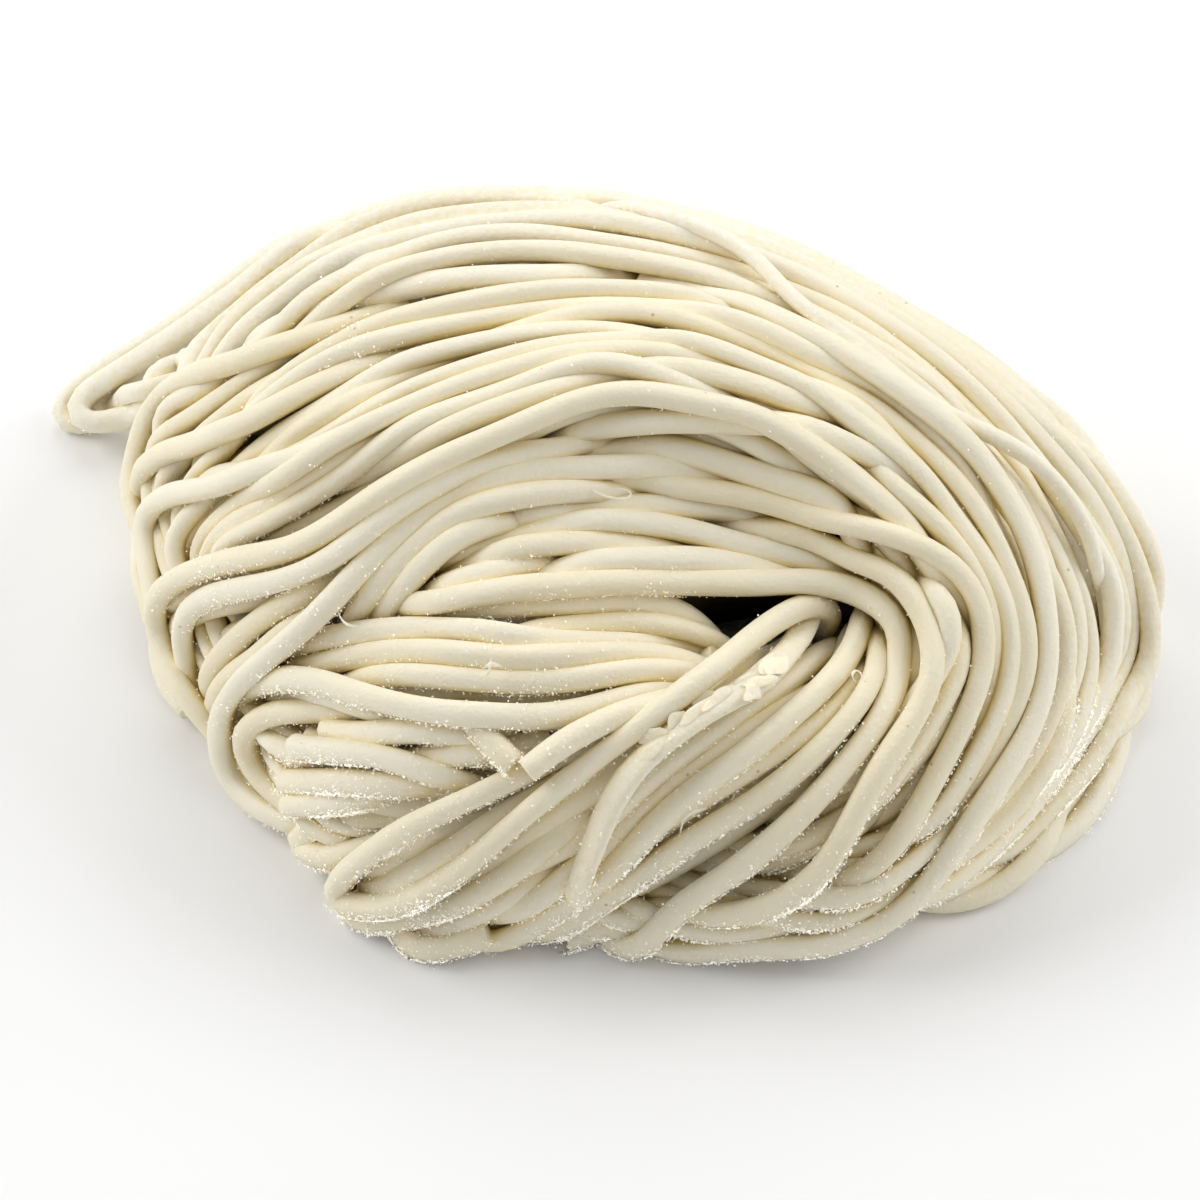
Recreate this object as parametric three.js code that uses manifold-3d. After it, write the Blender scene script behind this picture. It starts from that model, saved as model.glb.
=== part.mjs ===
// A nest of fresh ramen noodles: one portion of long, flour-dusted strands wound into a thick oval ring, with its
// ends folded back over the left side and the front. The nest is one solid out to its uneven outline.
// Millimetres, +Z up. The origin is on the surface that the nest lies on, under the middle of its bounding box.
// +X runs to the right along the nest's longest side, and +Y to the back.
import * as THREE from "three";
import { mergeVertices } from "three/addons/utils/BufferGeometryUtils.js";
import Module from "manifold-3d";

// ---- Driving dimensions ----

const NOODLE = 2.4; // thickness of one noodle
const NEST_HEIGHT = 38; // from the surface to the crown, behind the hole
const NEST_CENTRE = new THREE.Vector2(2, -1); // the footprint's middle, which its radii start from
// The footprint's radius every 30 degrees, counter-clockwise from +X. The back left and the front right reach furthest.
const NEST_RADII = [49, 40, 39, 41.5, 46.5, 49, 46, 41.5, 44, 41, 47, 52];
const EDGE_SHARPNESS = 2.4; // how late the crown starts to fall towards the edge: 2 is an ellipse
const WALL_FULLNESS = 2.2; // how upright the wall is where it meets the footprint: 2 is an ellipse
const UNDERCUT_HEIGHT = 7; // the wall tucks in below this height, as the lowest strands are round
const UNDERCUT_SHARE = 0.06; // by this share of its distance from the hole, at the surface

const HOLE_CENTRE = new THREE.Vector2(15.5, -22.5); // the ring's hole, in front of the middle
const HOLE_HALF_LENGTH = 9.5; // along X
const HOLE_HALF_WIDTH = 3.6; // along Y
const HOLE_SQUARENESS = 3; // 2 is an ellipse
const HOLE_LEAN = 0.4; // how far the hole's far wall backs away for each millimetre of depth, under the arched strands
const DIP_DEPTH = 7; // the ring sinks towards the hole by this much
const DIP_REACH = new THREE.Vector2(18, 11); // and within about these distances of it

const TERRACE_CENTRE = new THREE.Vector2(2, -24); // the inner strands lie lower than the ones that pass behind them
const TERRACE_REACH = new THREE.Vector2(26, 13.5); // the terrace's half sizes
const TERRACE_DEPTH = 2.4; // one noodle
const TERRACE_EDGE = 0.16; // the width of the step down, as a share of the terrace's reach
const TERRACE_FRONT = 6; // the terrace fades into the front over this distance

const RIDGES = 11; // bunches of strands that show as ridges between the hole's rim and the foot of the outer wall
const RIDGE_RELIEF = 0.15; // a ridge's height, as a share of its own width
const RIDGE_PROFILE = [1, 0.45, -1, 0.45]; // relief at a ridge's crest, flank, groove and next flank
const RIDGE_DRIFT = 0.35; // how many ridge widths the ridges wander on their way round
const CORE = new THREE.Vector3(2, -1, 8); // the nest's heart: a bunch's outer side faces away from it

// ---- How finely the solid is faceted ----

const RING_STEPS = 48; // around the hole
const HOLE_WALL_STEPS = 4; // up the hole's wall
const SKIN_SAMPLES = 160; // for measuring the skin's length from the rim to the foot
const BUNCH_STEPS = 15; // along a bunch of strands

// Bunches of strands that lie on the ring or leave it. Each route runs down the bunch's middle. strands is how many
// noodles wide the bunch is, and layers how many deep.
const BUNCHES = [
  {
    // Out of the hole's right end and down the front, to the fold at the lower left.
    name: "front fold, upper strands",
    strands: 3,
    layers: 1.8,
    route: [
      [23, -22, 25],
      [18.5, -26.5, 26],
      [12, -32, 25.2],
      [5, -37, 22],
      [-3, -40, 17],
      [-10.5, -41.5, 11.5],
      [-17, -41, 7],
      [-22.5, -38.5, 3.5],
    ],
  },
  {
    // The same strands after they turn back on themselves.
    name: "front fold, lower strands",
    strands: 3,
    layers: 1.6,
    route: [
      [22, -31.5, 21],
      [14, -38, 18.5],
      [6, -41.2, 12],
      [-3, -42, 7],
      [-11.5, -42, 4],
      [-18, -40.5, 2.5],
      [-22, -38.5, 3],
    ],
  },
  {
    // Level strands between the left fold and the hole.
    name: "inner strands",
    strands: 4,
    layers: 1.5,
    route: [
      [-26, -24, 20],
      [-19, -27.5, 25.5],
      [-12, -29.5, 27],
      [-1, -29.5, 27],
      [7, -28, 24],
    ],
  },
  {
    // The ends of the folds under them.
    name: "inner folds",
    strands: 2.6,
    layers: 1.4,
    route: [
      [-26, -31, 14],
      [-19, -34.5, 18.5],
      [-12.5, -35.5, 21],
      [-5, -34, 21],
    ],
  },
  {
    // Strands that leave the top of the ring, cross its left shoulder and turn down the left side.
    name: "left fold, upper strands",
    strands: 3,
    layers: 1.7,
    route: [
      [12, -6, 34],
      [2, -8, 37.5],
      [-10, -12, 36.5],
      [-17, -13.5, 34],
      [-25.5, -15, 29],
      [-32, -14, 23],
      [-37.5, -11.5, 16.5],
      [-41, -10.5, 9],
      [-39.5, -14.5, 4],
      [-35.5, -21, 2.5],
      [-30, -28.5, 3.5],
    ],
  },
  {
    // Strands beside them, which go round the lower left end.
    name: "left fold, lower strands",
    strands: 2,
    layers: 1.6,
    route: [
      [-5, -16, 32.5],
      [-14, -19, 33.5],
      [-21, -22, 29],
      [-25, -22, 25.5],
      [-29, -22.5, 20],
      [-33.5, -21.5, 13],
      [-34.5, -22, 7.5],
      [-33, -24.5, 4.5],
      [-28, -31.5, 5.5],
      [-22, -36.5, 8.5],
    ],
  },
  {
    // A single strand across the others, at the back right.
    name: "crossing strand",
    strands: 1,
    layers: 1,
    route: [
      [0, 17, 34.5],
      [15, 8.5, 36.5],
      [20.5, 2, 36.2],
      [26.5, -3, 34.8],
      [31, -7, 33],
      [40, -10.5, 27.3],
      [43.5, -16, 21.5],
    ],
  },
  {
    // The bend of a few loose strands that reaches out of the back left.
    name: "loose bend",
    strands: 3,
    layers: 1.4,
    route: [
      [-26, 24, 17],
      [-35, 25, 9.5],
      [-43, 25, 4],
      [-51, 24.5, 2],
    ],
  },
];

// ---- The ring's skin ----

// A closed curve through radii at equal angles, by Catmull-Rom.
function footprintRadius(angle) {
  const count = NEST_RADII.length;
  const place = (THREE.MathUtils.euclideanModulo(angle, 2 * Math.PI) / (2 * Math.PI)) * count;
  const first = Math.floor(place);
  const [before, here, next, after] = [-1, 0, 1, 2].map((k) => NEST_RADII[(first + k + count) % count]);
  const f = place - first;
  const linear = next - before;
  const square = 2 * before - 5 * here + 4 * next - after;
  const cube = -before + 3 * here - 3 * next + after;
  return 0.5 * (2 * here + linear * f + square * f * f + cube * f * f * f);
}

// How far out a point of the plan lies: 0 in the footprint's middle, and 1 on its edge.
function shareOut(x, y) {
  const dx = x - NEST_CENTRE.x;
  const dy = y - NEST_CENTRE.y;
  return Math.hypot(dx, dy) / footprintRadius(Math.atan2(dy, dx));
}

// The height of the nest's top over a point of the plan: a dome, with a dip at the hole and a terrace in front.
function topHeight(x, y) {
  const share = Math.min(shareOut(x, y), 1);
  const dome = NEST_HEIGHT * (1 - share ** EDGE_SHARPNESS) ** (1 / WALL_FULLNESS);
  const fromHole = Math.hypot((x - HOLE_CENTRE.x) / DIP_REACH.x, (y - HOLE_CENTRE.y) / DIP_REACH.y);
  const fromTerrace = Math.hypot((x - TERRACE_CENTRE.x) / TERRACE_REACH.x, (y - TERRACE_CENTRE.y) / TERRACE_REACH.y);
  const onTerrace = THREE.MathUtils.smoothstep(1 - fromTerrace, -TERRACE_EDGE / 2, TERRACE_EDGE / 2);
  const behindFront = THREE.MathUtils.smoothstep(y, TERRACE_CENTRE.y - TERRACE_FRONT, TERRACE_CENTRE.y);
  const sunk = DIP_DEPTH * Math.exp(-fromHole * fromHole) + TERRACE_DEPTH * onTerrace * behindFront;
  return dome - sunk * Math.min((2 * dome) / NEST_HEIGHT, 1);
}

// The hole's own radius in a direction.
function holeRadius(angle) {
  const along = Math.abs(Math.cos(angle) / HOLE_HALF_LENGTH) ** HOLE_SQUARENESS;
  const across = Math.abs(Math.sin(angle) / HOLE_HALF_WIDTH) ** HOLE_SQUARENESS;
  return (along + across) ** (-1 / HOLE_SQUARENESS);
}

// The distance from the hole's centre to the footprint's edge, by halving.
function reachFromHole(direction) {
  let near = 0;
  let far = 3 * NEST_HEIGHT;
  while (far - near > 1e-6) {
    const middle = (near + far) / 2;
    const point = HOLE_CENTRE.clone().addScaledVector(direction, middle);
    if (shareOut(point.x, point.y) < 1) near = middle;
    else far = middle;
  }
  return near;
}

// Pulls a point at the foot of the outer wall inwards, so that the wall tucks under.
function tuckedIn(distance, height) {
  const depth = Math.max(0, 1 - height / UNDERCUT_HEIGHT);
  return distance * (1 - UNDERCUT_SHARE * depth * depth);
}

// The skin from the hole's rim to the foot of the outer wall, in one direction from the hole, as [distance, height].
function smoothSkin(angle) {
  const direction = new THREE.Vector2(Math.cos(angle), Math.sin(angle));
  const rim = holeRadius(angle);
  const reach = reachFromHole(direction);
  const skin = [];
  for (let i = 0; i <= SKIN_SAMPLES; i++) {
    const distance = rim + (reach - rim) * Math.sin(((i / SKIN_SAMPLES) * Math.PI) / 2);
    const point = HOLE_CENTRE.clone().addScaledVector(direction, distance);
    const height = i === SKIN_SAMPLES ? 0 : topHeight(point.x, point.y);
    skin.push(new THREE.Vector2(tuckedIn(distance, height), height));
  }
  return skin;
}

// The same skin with its ridges. Every ridge has a crest, two flanks and a groove, wherever it wanders.
function ridgedSkin(angle) {
  const smooth = smoothSkin(angle);
  const along = [0];
  for (let i = 1; i < smooth.length; i++) along.push(along[i - 1] + smooth[i].distanceTo(smooth[i - 1]));
  const length = along[along.length - 1];
  const steps = RIDGES * RIDGE_PROFILE.length;

  const ridged = [];
  let sample = 1;
  for (let i = 0; i <= steps; i++) {
    const share = i / steps;
    const middleness = Math.sin(Math.PI * share);
    const drift = (RIDGE_DRIFT / RIDGES) * Math.sin(2 * angle + 7 * share) * middleness;
    const target = length * (share + drift);
    while (sample < smooth.length - 1 && along[sample] < target) sample++;
    const before = smooth[sample - 1];
    const after = smooth[sample];
    const part = (target - along[sample - 1]) / (along[sample] - along[sample - 1]);
    const normal = new THREE.Vector2(before.y - after.y, after.x - before.x).normalize();
    const ridge = Math.round(i / RIDGE_PROFILE.length);
    const strength = 0.75 + 0.25 * Math.sin(3 * angle + 2.4 * ridge);
    const fade = Math.min(1, 5 * middleness);
    const relief = ((RIDGE_RELIEF * length) / RIDGES) * strength * fade * RIDGE_PROFILE[i % RIDGE_PROFILE.length];
    ridged.push(before.clone().lerp(after, part).addScaledVector(normal, relief));
  }
  return ridged;
}

// The ring's whole cross-section in one direction from the hole: up the hole's wall and over the skin to the foot of
// the outer wall. The underside closes it.
function ringSection(angle) {
  const skin = ridgedSkin(angle);
  const rim = skin[0];
  const lean = HOLE_LEAN * Math.max(0, Math.sin(angle));
  const wall = [];
  for (let i = 0; i < HOLE_WALL_STEPS; i++) {
    const height = (rim.y * i) / HOLE_WALL_STEPS;
    wall.push(new THREE.Vector2(rim.x + lean * (rim.y - height), height));
  }
  return [...wall, ...skin];
}

// ---- Closed meshes ----

// Joins closed loops of equally many points into a geometry. A ring joins its last loop to its first, and anything
// else is closed by a fan at each end.
function loftedGeometry(loops, isRing) {
  const sides = loops[0].length;
  const positions = loops.flat().flatMap((p) => [p.x, p.y, p.z]);
  const indices = [];
  const joins = isRing ? loops.length : loops.length - 1;
  for (let i = 0; i < joins; i++) {
    const here = i * sides;
    const next = ((i + 1) % loops.length) * sides;
    for (let k = 0; k < sides; k++) {
      const l = (k + 1) % sides;
      indices.push(here + k, next + k, next + l, here + k, next + l, here + l);
    }
  }
  if (!isRing) {
    const last = (loops.length - 1) * sides;
    for (let k = 1; k < sides - 1; k++) {
      indices.push(0, k, k + 1);
      indices.push(last, last + k + 1, last + k);
    }
  }
  const geometry = new THREE.BufferGeometry();
  geometry.setAttribute("position", new THREE.Float32BufferAttribute(positions, 3));
  geometry.setIndex(indices);
  return geometry;
}

function ringGeometry() {
  const loops = [];
  for (let i = 0; i < RING_STEPS; i++) {
    const angle = (i / RING_STEPS) * 2 * Math.PI;
    const turned = (p) =>
      new THREE.Vector3(HOLE_CENTRE.x + p.x * Math.cos(angle), HOLE_CENTRE.y + p.x * Math.sin(angle), p.y);
    loops.push(ringSection(angle).map(turned));
  }
  return loftedGeometry(loops, true);
}

// A bunch's cross-section, as [across, outwards]: strands side by side on the outer side, and flat on the inner side.
function bunchSection(strands, layers) {
  const radius = NOODLE / 2;
  const halfWidth = strands * radius;
  const depth = layers * radius;
  const count = Math.max(1, Math.round(strands));
  const pitch = (2 * halfWidth) / count;
  const section = [new THREE.Vector2(0.7 * halfWidth, -depth), new THREE.Vector2(halfWidth, 0)];
  for (let i = 0; i < count; i++) {
    const middle = halfWidth - pitch * (i + 0.5);
    section.push(new THREE.Vector2(middle + 0.22 * pitch, depth));
    section.push(new THREE.Vector2(middle - 0.22 * pitch, depth));
    if (i < count - 1) section.push(new THREE.Vector2(middle - 0.5 * pitch, 0.4 * depth));
  }
  section.push(new THREE.Vector2(-halfWidth, 0), new THREE.Vector2(-0.7 * halfWidth, -depth));
  return section;
}

// A bunch of strands, swept along its smooth route, with its ends rounded off.
function bunchGeometry({ strands, layers, route }) {
  const curve = new THREE.CatmullRomCurve3(route.map((p) => new THREE.Vector3(...p)), false, "centripetal");
  const section = bunchSection(strands, layers);
  const loops = [];
  for (let i = 0; i <= BUNCH_STEPS; i++) {
    const share = i / BUNCH_STEPS;
    const middle = curve.getPointAt(share);
    const tangent = curve.getTangentAt(share);
    const across = tangent.clone().cross(middle.clone().sub(CORE)).normalize();
    const out = across.clone().cross(tangent).normalize();
    const stepsToEnd = Math.min(i, BUNCH_STEPS - i);
    const size = Math.min(1, 0.5 + 0.3 * stepsToEnd);
    const placed = (p) =>
      middle.clone().addScaledVector(across, size * p.x).addScaledVector(out, size * p.y);
    loops.push(section.map(placed));
  }
  return loftedGeometry(loops, false);
}

// ---- Joining ----

const manifold = await Module();
manifold.setup();

// A closed geometry as a solid, whichever way round its faces were listed.
function solidOf(geometry) {
  const bare = new THREE.BufferGeometry();
  bare.setAttribute("position", geometry.getAttribute("position"));
  bare.setIndex(geometry.getIndex());
  const merged = mergeVertices(bare, 1e-4);
  const vertProperties = new Float32Array(merged.getAttribute("position").array);
  const triVerts = new Uint32Array(merged.getIndex().array);
  const build = () => new manifold.Manifold(new manifold.Mesh({ numProp: 3, vertProperties, triVerts }));
  const solid = build();
  if (solid.volume() > 0) return solid;
  for (let i = 0; i < triVerts.length; i += 3) [triVerts[i + 1], triVerts[i + 2]] = [triVerts[i + 2], triVerts[i + 1]];
  return build();
}

function geometryOf(solid) {
  const mesh = solid.getMesh();
  const geometry = new THREE.BufferGeometry();
  const positions = new Float32Array(mesh.numVert * 3);
  for (let i = 0; i < mesh.numVert; i++) {
    positions.set(mesh.vertProperties.subarray(i * mesh.numProp, i * mesh.numProp + 3), i * 3);
  }
  geometry.setAttribute("position", new THREE.BufferAttribute(positions, 3));
  geometry.setIndex(new THREE.BufferAttribute(new Uint32Array(mesh.triVerts), 1));
  geometry.computeVertexNormals();
  return geometry;
}

// Everything below the surface that the nest lies on.
function groundSolid() {
  const size = 4 * NEST_HEIGHT;
  return solidOf(new THREE.BoxGeometry(size, size, size).translate(0, 0, -size / 2));
}

function nestSolid() {
  let nest = solidOf(ringGeometry());
  for (const bunch of BUNCHES) nest = nest.add(solidOf(bunchGeometry(bunch)));
  nest = nest.subtract(groundSolid());
  // A gap that the bunches shut in would be a sealed hollow. The largest body leaves it out.
  return nest.decompose().reduce((largest, body) => (body.volume() > largest.volume() ? body : largest));
}

const noodles = new THREE.MeshStandardMaterial({ color: 0xe9dfc4, roughness: 0.75, metalness: 0 });

const shape = geometryOf(nestSolid());
shape.computeBoundingBox();
const middle = shape.boundingBox.getCenter(new THREE.Vector3());

const nest = new THREE.Mesh(shape, noodles);
nest.name = "noodle_nest";
nest.position.set(-middle.x, -middle.y, 0); // the bunches that lie on the ring shift the box's middle

const ramenNest = new THREE.Group();
ramenNest.add(nest);

export default ramenNest;
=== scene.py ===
"""Looks of the ramen noodle nest: 190 lengths of noodle over a smaller core, with flour and torn wisps.

The noodles are laid where the photograph shows them and pushed apart until they rest on each other. Lengths
are millimetres in the nest's own coordinates, which are part.mjs's, until a mesh is made in metres.
"""

import math

import bpy
import numpy as np
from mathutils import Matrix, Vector


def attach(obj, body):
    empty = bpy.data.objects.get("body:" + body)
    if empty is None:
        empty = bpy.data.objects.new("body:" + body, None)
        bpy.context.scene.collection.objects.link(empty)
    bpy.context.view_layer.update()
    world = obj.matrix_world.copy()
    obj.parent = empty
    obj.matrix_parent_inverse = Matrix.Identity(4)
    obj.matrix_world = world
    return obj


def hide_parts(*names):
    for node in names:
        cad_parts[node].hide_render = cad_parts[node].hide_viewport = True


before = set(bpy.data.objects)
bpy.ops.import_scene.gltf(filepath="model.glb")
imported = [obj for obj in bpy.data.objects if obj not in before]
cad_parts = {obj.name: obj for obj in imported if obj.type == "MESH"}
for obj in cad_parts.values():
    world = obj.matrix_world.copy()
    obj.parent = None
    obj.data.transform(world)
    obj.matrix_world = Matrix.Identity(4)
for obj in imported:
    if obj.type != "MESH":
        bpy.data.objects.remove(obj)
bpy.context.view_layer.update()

MM = 0.001
ROW_ORIGIN = np.array([0.2143, -1.4293, 0.0])  # the row's origin in the nest's coordinates

# ---- The nest's skin, as in part.mjs but for the radii and the terrace's depth ----
#
# Noodles that settle push the outline out, so the radii are 1 to 3 mm smaller, and 4 mm at the right front,
# 330 degrees, where the noodles stop inside the part's smooth outline. The terrace lies 1.2 mm deeper, because
# the noodles traced on it fill it up.

NEST_HEIGHT = 38.0
NEST_CENTRE = np.array([2.0, -1.0])
NEST_RADII = np.array([48, 39, 37, 38.5, 44.5, 48, 45, 40.5, 42.5, 39.5, 45, 48])  # every 30 degrees from +X
EDGE_SHARPNESS = 2.4  # how late the crown starts to fall towards the edge
WALL_FULLNESS = 2.2  # how upright the wall is at its foot
HOLE_CENTRE = np.array([15.5, -22.5])
DIP_DEPTH = 7.0  # by which the ring sinks towards the hole
DIP_REACH = (18.0, 11.0)
TERRACE_CENTRE = (2.0, -24.0)
TERRACE_REACH = (26.0, 13.5)
TERRACE_DEPTH = 3.6
TERRACE_EDGE = 0.16  # the width of the step down, as a share of the terrace's reach
TERRACE_FRONT = 6.0  # over which it fades into the front
CORE = np.array([*NEST_CENTRE, 8.0])  # the nest's heart, which every place on the skin is seen from

# ---- Noodles ----

NOODLE = 2.25  # thickness of one noodle
STEP = 2.0  # between a line's points while the noodles settle

# How firmly noodles keep their place while they settle: the hidden ones least, and the ones on top most.
HIDDEN_GRIP = 0.05
FAR_GRIP = 0.07
TERRACE_GRIP = 0.08
BEND_GRIP = 0.1
FOLD_GRIP = 0.12
FRONT_GRIP = 0.15
TOP_GRIP = 0.16

# ---- The photograph's view ----

FRAME_PX = 1200
MM_PER_PX = 0.09  # at the target
CAMERA_ELEVATION = math.radians(48.0)
CAMERA_DISTANCE = 400.0
CAMERA_TARGET = np.array([0.0, -12.0, 15.0])
SENSOR = 36.0
LENS = SENSOR * CAMERA_DISTANCE / (FRAME_PX * MM_PER_PX)

VIEW_DIRECTION = np.array([0.0, math.cos(CAMERA_ELEVATION), -math.sin(CAMERA_ELEVATION)])
VIEW_UP = np.array([0.0, math.sin(CAMERA_ELEVATION), math.cos(CAMERA_ELEVATION)])
VIEW_RIGHT = np.array([1.0, 0.0, 0.0])
CAMERA_PLACE = CAMERA_TARGET - CAMERA_DISTANCE * VIEW_DIRECTION

# ---- Noodles traced in the photograph ----
#
# Each place is (across, down, layer): pixels in the 1200-pixel frame, and how many noodles lie between this
# one and the nest's outer layer. 0 is in the outer layer, 1 is on top of it and -1 is under it.

# Guides for the wide band over the far side. Place by place they lie side by side: from under the front loops
# up the left wall, over the top, round the right side and along the foot of the front, back under the loops.
FAR_BAND = [
    [(450, 890), (372, 868), (308, 828), (204, 702), (135, 532), (133, 420), (153, 364), (218, 307),
     (340, 230), (480, 200), (620, 210), (780, 252), (920, 324), (1040, 424), (1116, 520), (1142, 640),
     (1105, 745), (1028, 840), (890, 920), (740, 942), (600, 936), (510, 918), (450, 890)],
    [(440, 875), (364, 850), (296, 792), (212, 692), (148, 545), (149, 456), (177, 408), (246, 352),
     (350, 278), (480, 244), (620, 247), (765, 282), (893, 350), (990, 440), (1060, 550), (1085, 660),
     (1056, 745), (990, 830), (870, 905), (720, 928), (580, 922), (500, 905), (440, 875)],
    [(425, 858), (346, 818), (274, 760), (218, 675), (164, 573), (159, 510), (187, 468), (252, 435),
     (360, 368), (480, 322), (610, 300), (740, 325), (850, 388), (950, 480), (1008, 590), (1020, 680),
     (988, 762), (926, 842), (820, 896), (690, 916), (560, 908), (486, 892), (425, 858)],
    [(405, 842), (324, 790), (254, 732), (222, 660), (195, 602), (205, 574), (240, 545), (310, 500),
     (390, 450), (485, 400), (600, 380), (720, 400), (820, 450), (920, 540), (975, 625), (986, 700),
     (956, 773), (893, 850), (782, 896), (660, 908), (550, 900), (470, 876), (405, 842)],
]
# Guides for the terrace between that band and the hole.
TERRACE = [
    [(300, 610), (400, 515), (470, 470), (560, 445), (680, 440), (790, 475), (905, 540), (962, 610),
     (975, 690), (942, 770), (868, 850), (770, 893), (640, 918), (540, 905)],
    [(350, 640), (400, 626), (450, 604), (560, 583), (700, 568), (805, 556), (898, 558), (938, 596),
     (942, 660), (915, 715), (845, 795), (731, 864), (617, 915), (530, 915)],
]

# Noodles that turn down over the left shoulder.
LEFT_SHOULDER = [
    [(640, 286, -1.5), (580, 279, -0.4), (520, 276, 0), (460, 278, 0), (400, 285, 0), (345, 299, 0),
     (290, 322, 0), (240, 346, -0.6), (190, 372, -1.6)],
    [(400, 300, -1), (330, 330, 0), (290, 345, 0.2), (240, 362, 0.4), (190, 384, 0.4), (158, 398, 0.3),
     (143, 422, 0.2), (140, 465, 0.2), (143, 510, 0.1), (152, 560, 0), (176, 640, -1)],
    [(430, 340, -1), (360, 366, 0), (300, 390, 0.4), (260, 418, 0.6), (208, 442, 0.5), (167, 453, 0.4),
     (149, 476, 0.3), (142, 510, 0.2), (147, 560, 0.1), (166, 620, 0), (200, 700, -1)],
    [(480, 385, -1), (420, 412, 0), (360, 438, 0.3), (296, 466, 0.7), (244, 482, 0.8), (192, 490, 0.6),
     (160, 500, 0.4), (146, 524, 0.3), (152, 566, 0.3), (174, 640, 0), (210, 720, -1)],
]

# Noodles that arch over the far side above the terrace, and fold down the left side.
LEFT_FOLD = [
    [(1010, 700, -2), (985, 660, -1), (945, 590, -0.4), (895, 525, 0), (815, 440, 0.4), (750, 416, 0.8),
     (698, 404, 1), (662, 392, 1), (622, 388, 1), (586, 396, 1), (546, 412, 1), (498, 436, 1),
     (450, 460, 1), (395, 488, 1), (340, 522, 1), (296, 550, 1), (232, 560, 1), (192, 572, 1),
     (168, 588, 1), (156, 612, 1), (160, 640, 1), (172, 662, 1), (196, 692, 1), (222, 730, 0.5),
     (262, 790, 0), (320, 850, -1), (400, 890, -2)],
    [(680, 440, -1.5), (600, 441, -0.3), (533, 454, 0.5), (476, 466, 1), (437, 484, 1), (399, 506, 1),
     (370, 534, 1), (340, 558, 1), (300, 576, 1), (262, 586, 1), (225, 590, 1), (200, 598, 1),
     (184, 614, 0.8), (181, 640, 0.6), (192, 670, 0.4), (220, 715, 0), (262, 775, -1), (330, 830, -2)],
    [(900, 600, -2), (850, 545, -1), (780, 507, -0.3), (680, 475, 0), (560, 474, 0.5), (500, 484, 1),
     (460, 490, 1), (428, 506, 1), (400, 530, 1), (372, 557, 1), (348, 584, 1), (316, 618, 1),
     (276, 652, 1), (246, 677, 1), (226, 704, 1), (219, 734, 1), (225, 766, 1), (243, 792, 0.8),
     (272, 814, 0.4), (320, 838, -0.5), (390, 860, -2)],
    [(680, 490, -1), (600, 488, 0), (540, 492, 0.3), (490, 500, 0.5), (452, 512, 0.6), (420, 534, 0.6),
     (398, 560, 0.6), (378, 588, 0.5), (360, 614, 0.2), (346, 640, -0.7), (330, 680, -2)],
    [(560, 520, -1), (520, 512, 0), (480, 520, 0.3), (448, 540, 0.3), (424, 566, 0.2), (404, 592, 0),
     (385, 620, -1), (370, 650, -2)],
    [(400, 560, -1), (360, 572, -0.3), (324, 582, 0.2), (284, 604, 0.3), (254, 622, 0.3), (234, 642, 0.3),
     (222, 664, 0.2), (222, 690, 0), (235, 730, -0.7), (260, 780, -1.5)],
    [(340, 480, -1), (380, 450, 0), (450, 424, 0.5), (490, 412, 0.5), (530, 396, 0.6), (582, 376, 0.6),
     (622, 366, 0.6), (666, 362, 0.6), (706, 372, 0.5), (754, 388, 0.5), (802, 404, 0.3), (846, 416, 0),
     (920, 460, -1), (980, 530, -2)],
    [(520, 480, -1.5), (540, 462, -0.6), (558, 448, 0), (582, 436, 0.2), (618, 424, 0.2), (666, 418, 0.2),
     (722, 420, 0.2), (770, 428, 0), (846, 450, 0), (900, 490, 0), (950, 555, -1), (985, 630, -2)],
    [(480, 520, -1.5), (502, 496, -0.6), (522, 476, 0), (550, 460, 0), (590, 450, 0), (638, 450, 0),
     (674, 456, 0), (722, 464, 0), (770, 476, 0), (846, 502, 0), (900, 550, -1), (930, 605, -2)],
]

# Noodles of the terrace behind the hole; those nearer to the hole lie a little higher.
ON_TERRACE = [
    [(430, 556, -1), (449, 544, -0.2), (509, 516, 0), (578, 503, 0), (638, 498, 0), (698, 507, -0.3),
     (750, 520, -1), (800, 530, -1.6)],
    [(420, 560, -1), (442, 551, -0.2), (500, 535, 0.1), (560, 521, 0.1), (624, 515, 0.2), (679, 526, 0.1),
     (734, 544, 0), (780, 556, 0), (836, 565, 0), (880, 576, -0.3), (912, 598, -1), (926, 632, -2)],
    [(446, 582, -1), (468, 566, -0.1), (509, 550, 0.2), (560, 541, 0.3), (610, 541, 0.3), (661, 552, 0.2),
     (716, 566, 0), (762, 572, -0.4), (820, 580, -1.2)],
    [(420, 602, -0.8), (440, 587, 0.1), (486, 568, 0.3), (523, 560, 0.2), (560, 564, -0.4),
     (600, 575, -1.2)],
    [(520, 592, -1), (541, 574, 0.2), (573, 562, 0.4), (615, 558, 0.4), (670, 562, 0.3), (734, 567, 0.2),
     (790, 573, -0.2), (850, 582, -1.2)],
    [(385, 615, -1), (440, 599, 0.3), (490, 591, 0.5), (532, 585, 0.5), (624, 578, 0.5), (700, 576, 0.5),
     (780, 577, 0.4), (838, 580, 0.4), (868, 584, 0.3), (893, 596, 0.2), (911, 617, 0.2), (918, 646, 0.2),
     (910, 676, 0.2), (893, 704, 0.3), (868, 738, 0.3), (842, 770, 0.4), (820, 797, 0.4), (798, 819, 0.4),
     (749, 862, 0.4), (705, 890, 0.4), (661, 924, 0.2), (630, 950, 0), (600, 966, -1)],
]

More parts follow.
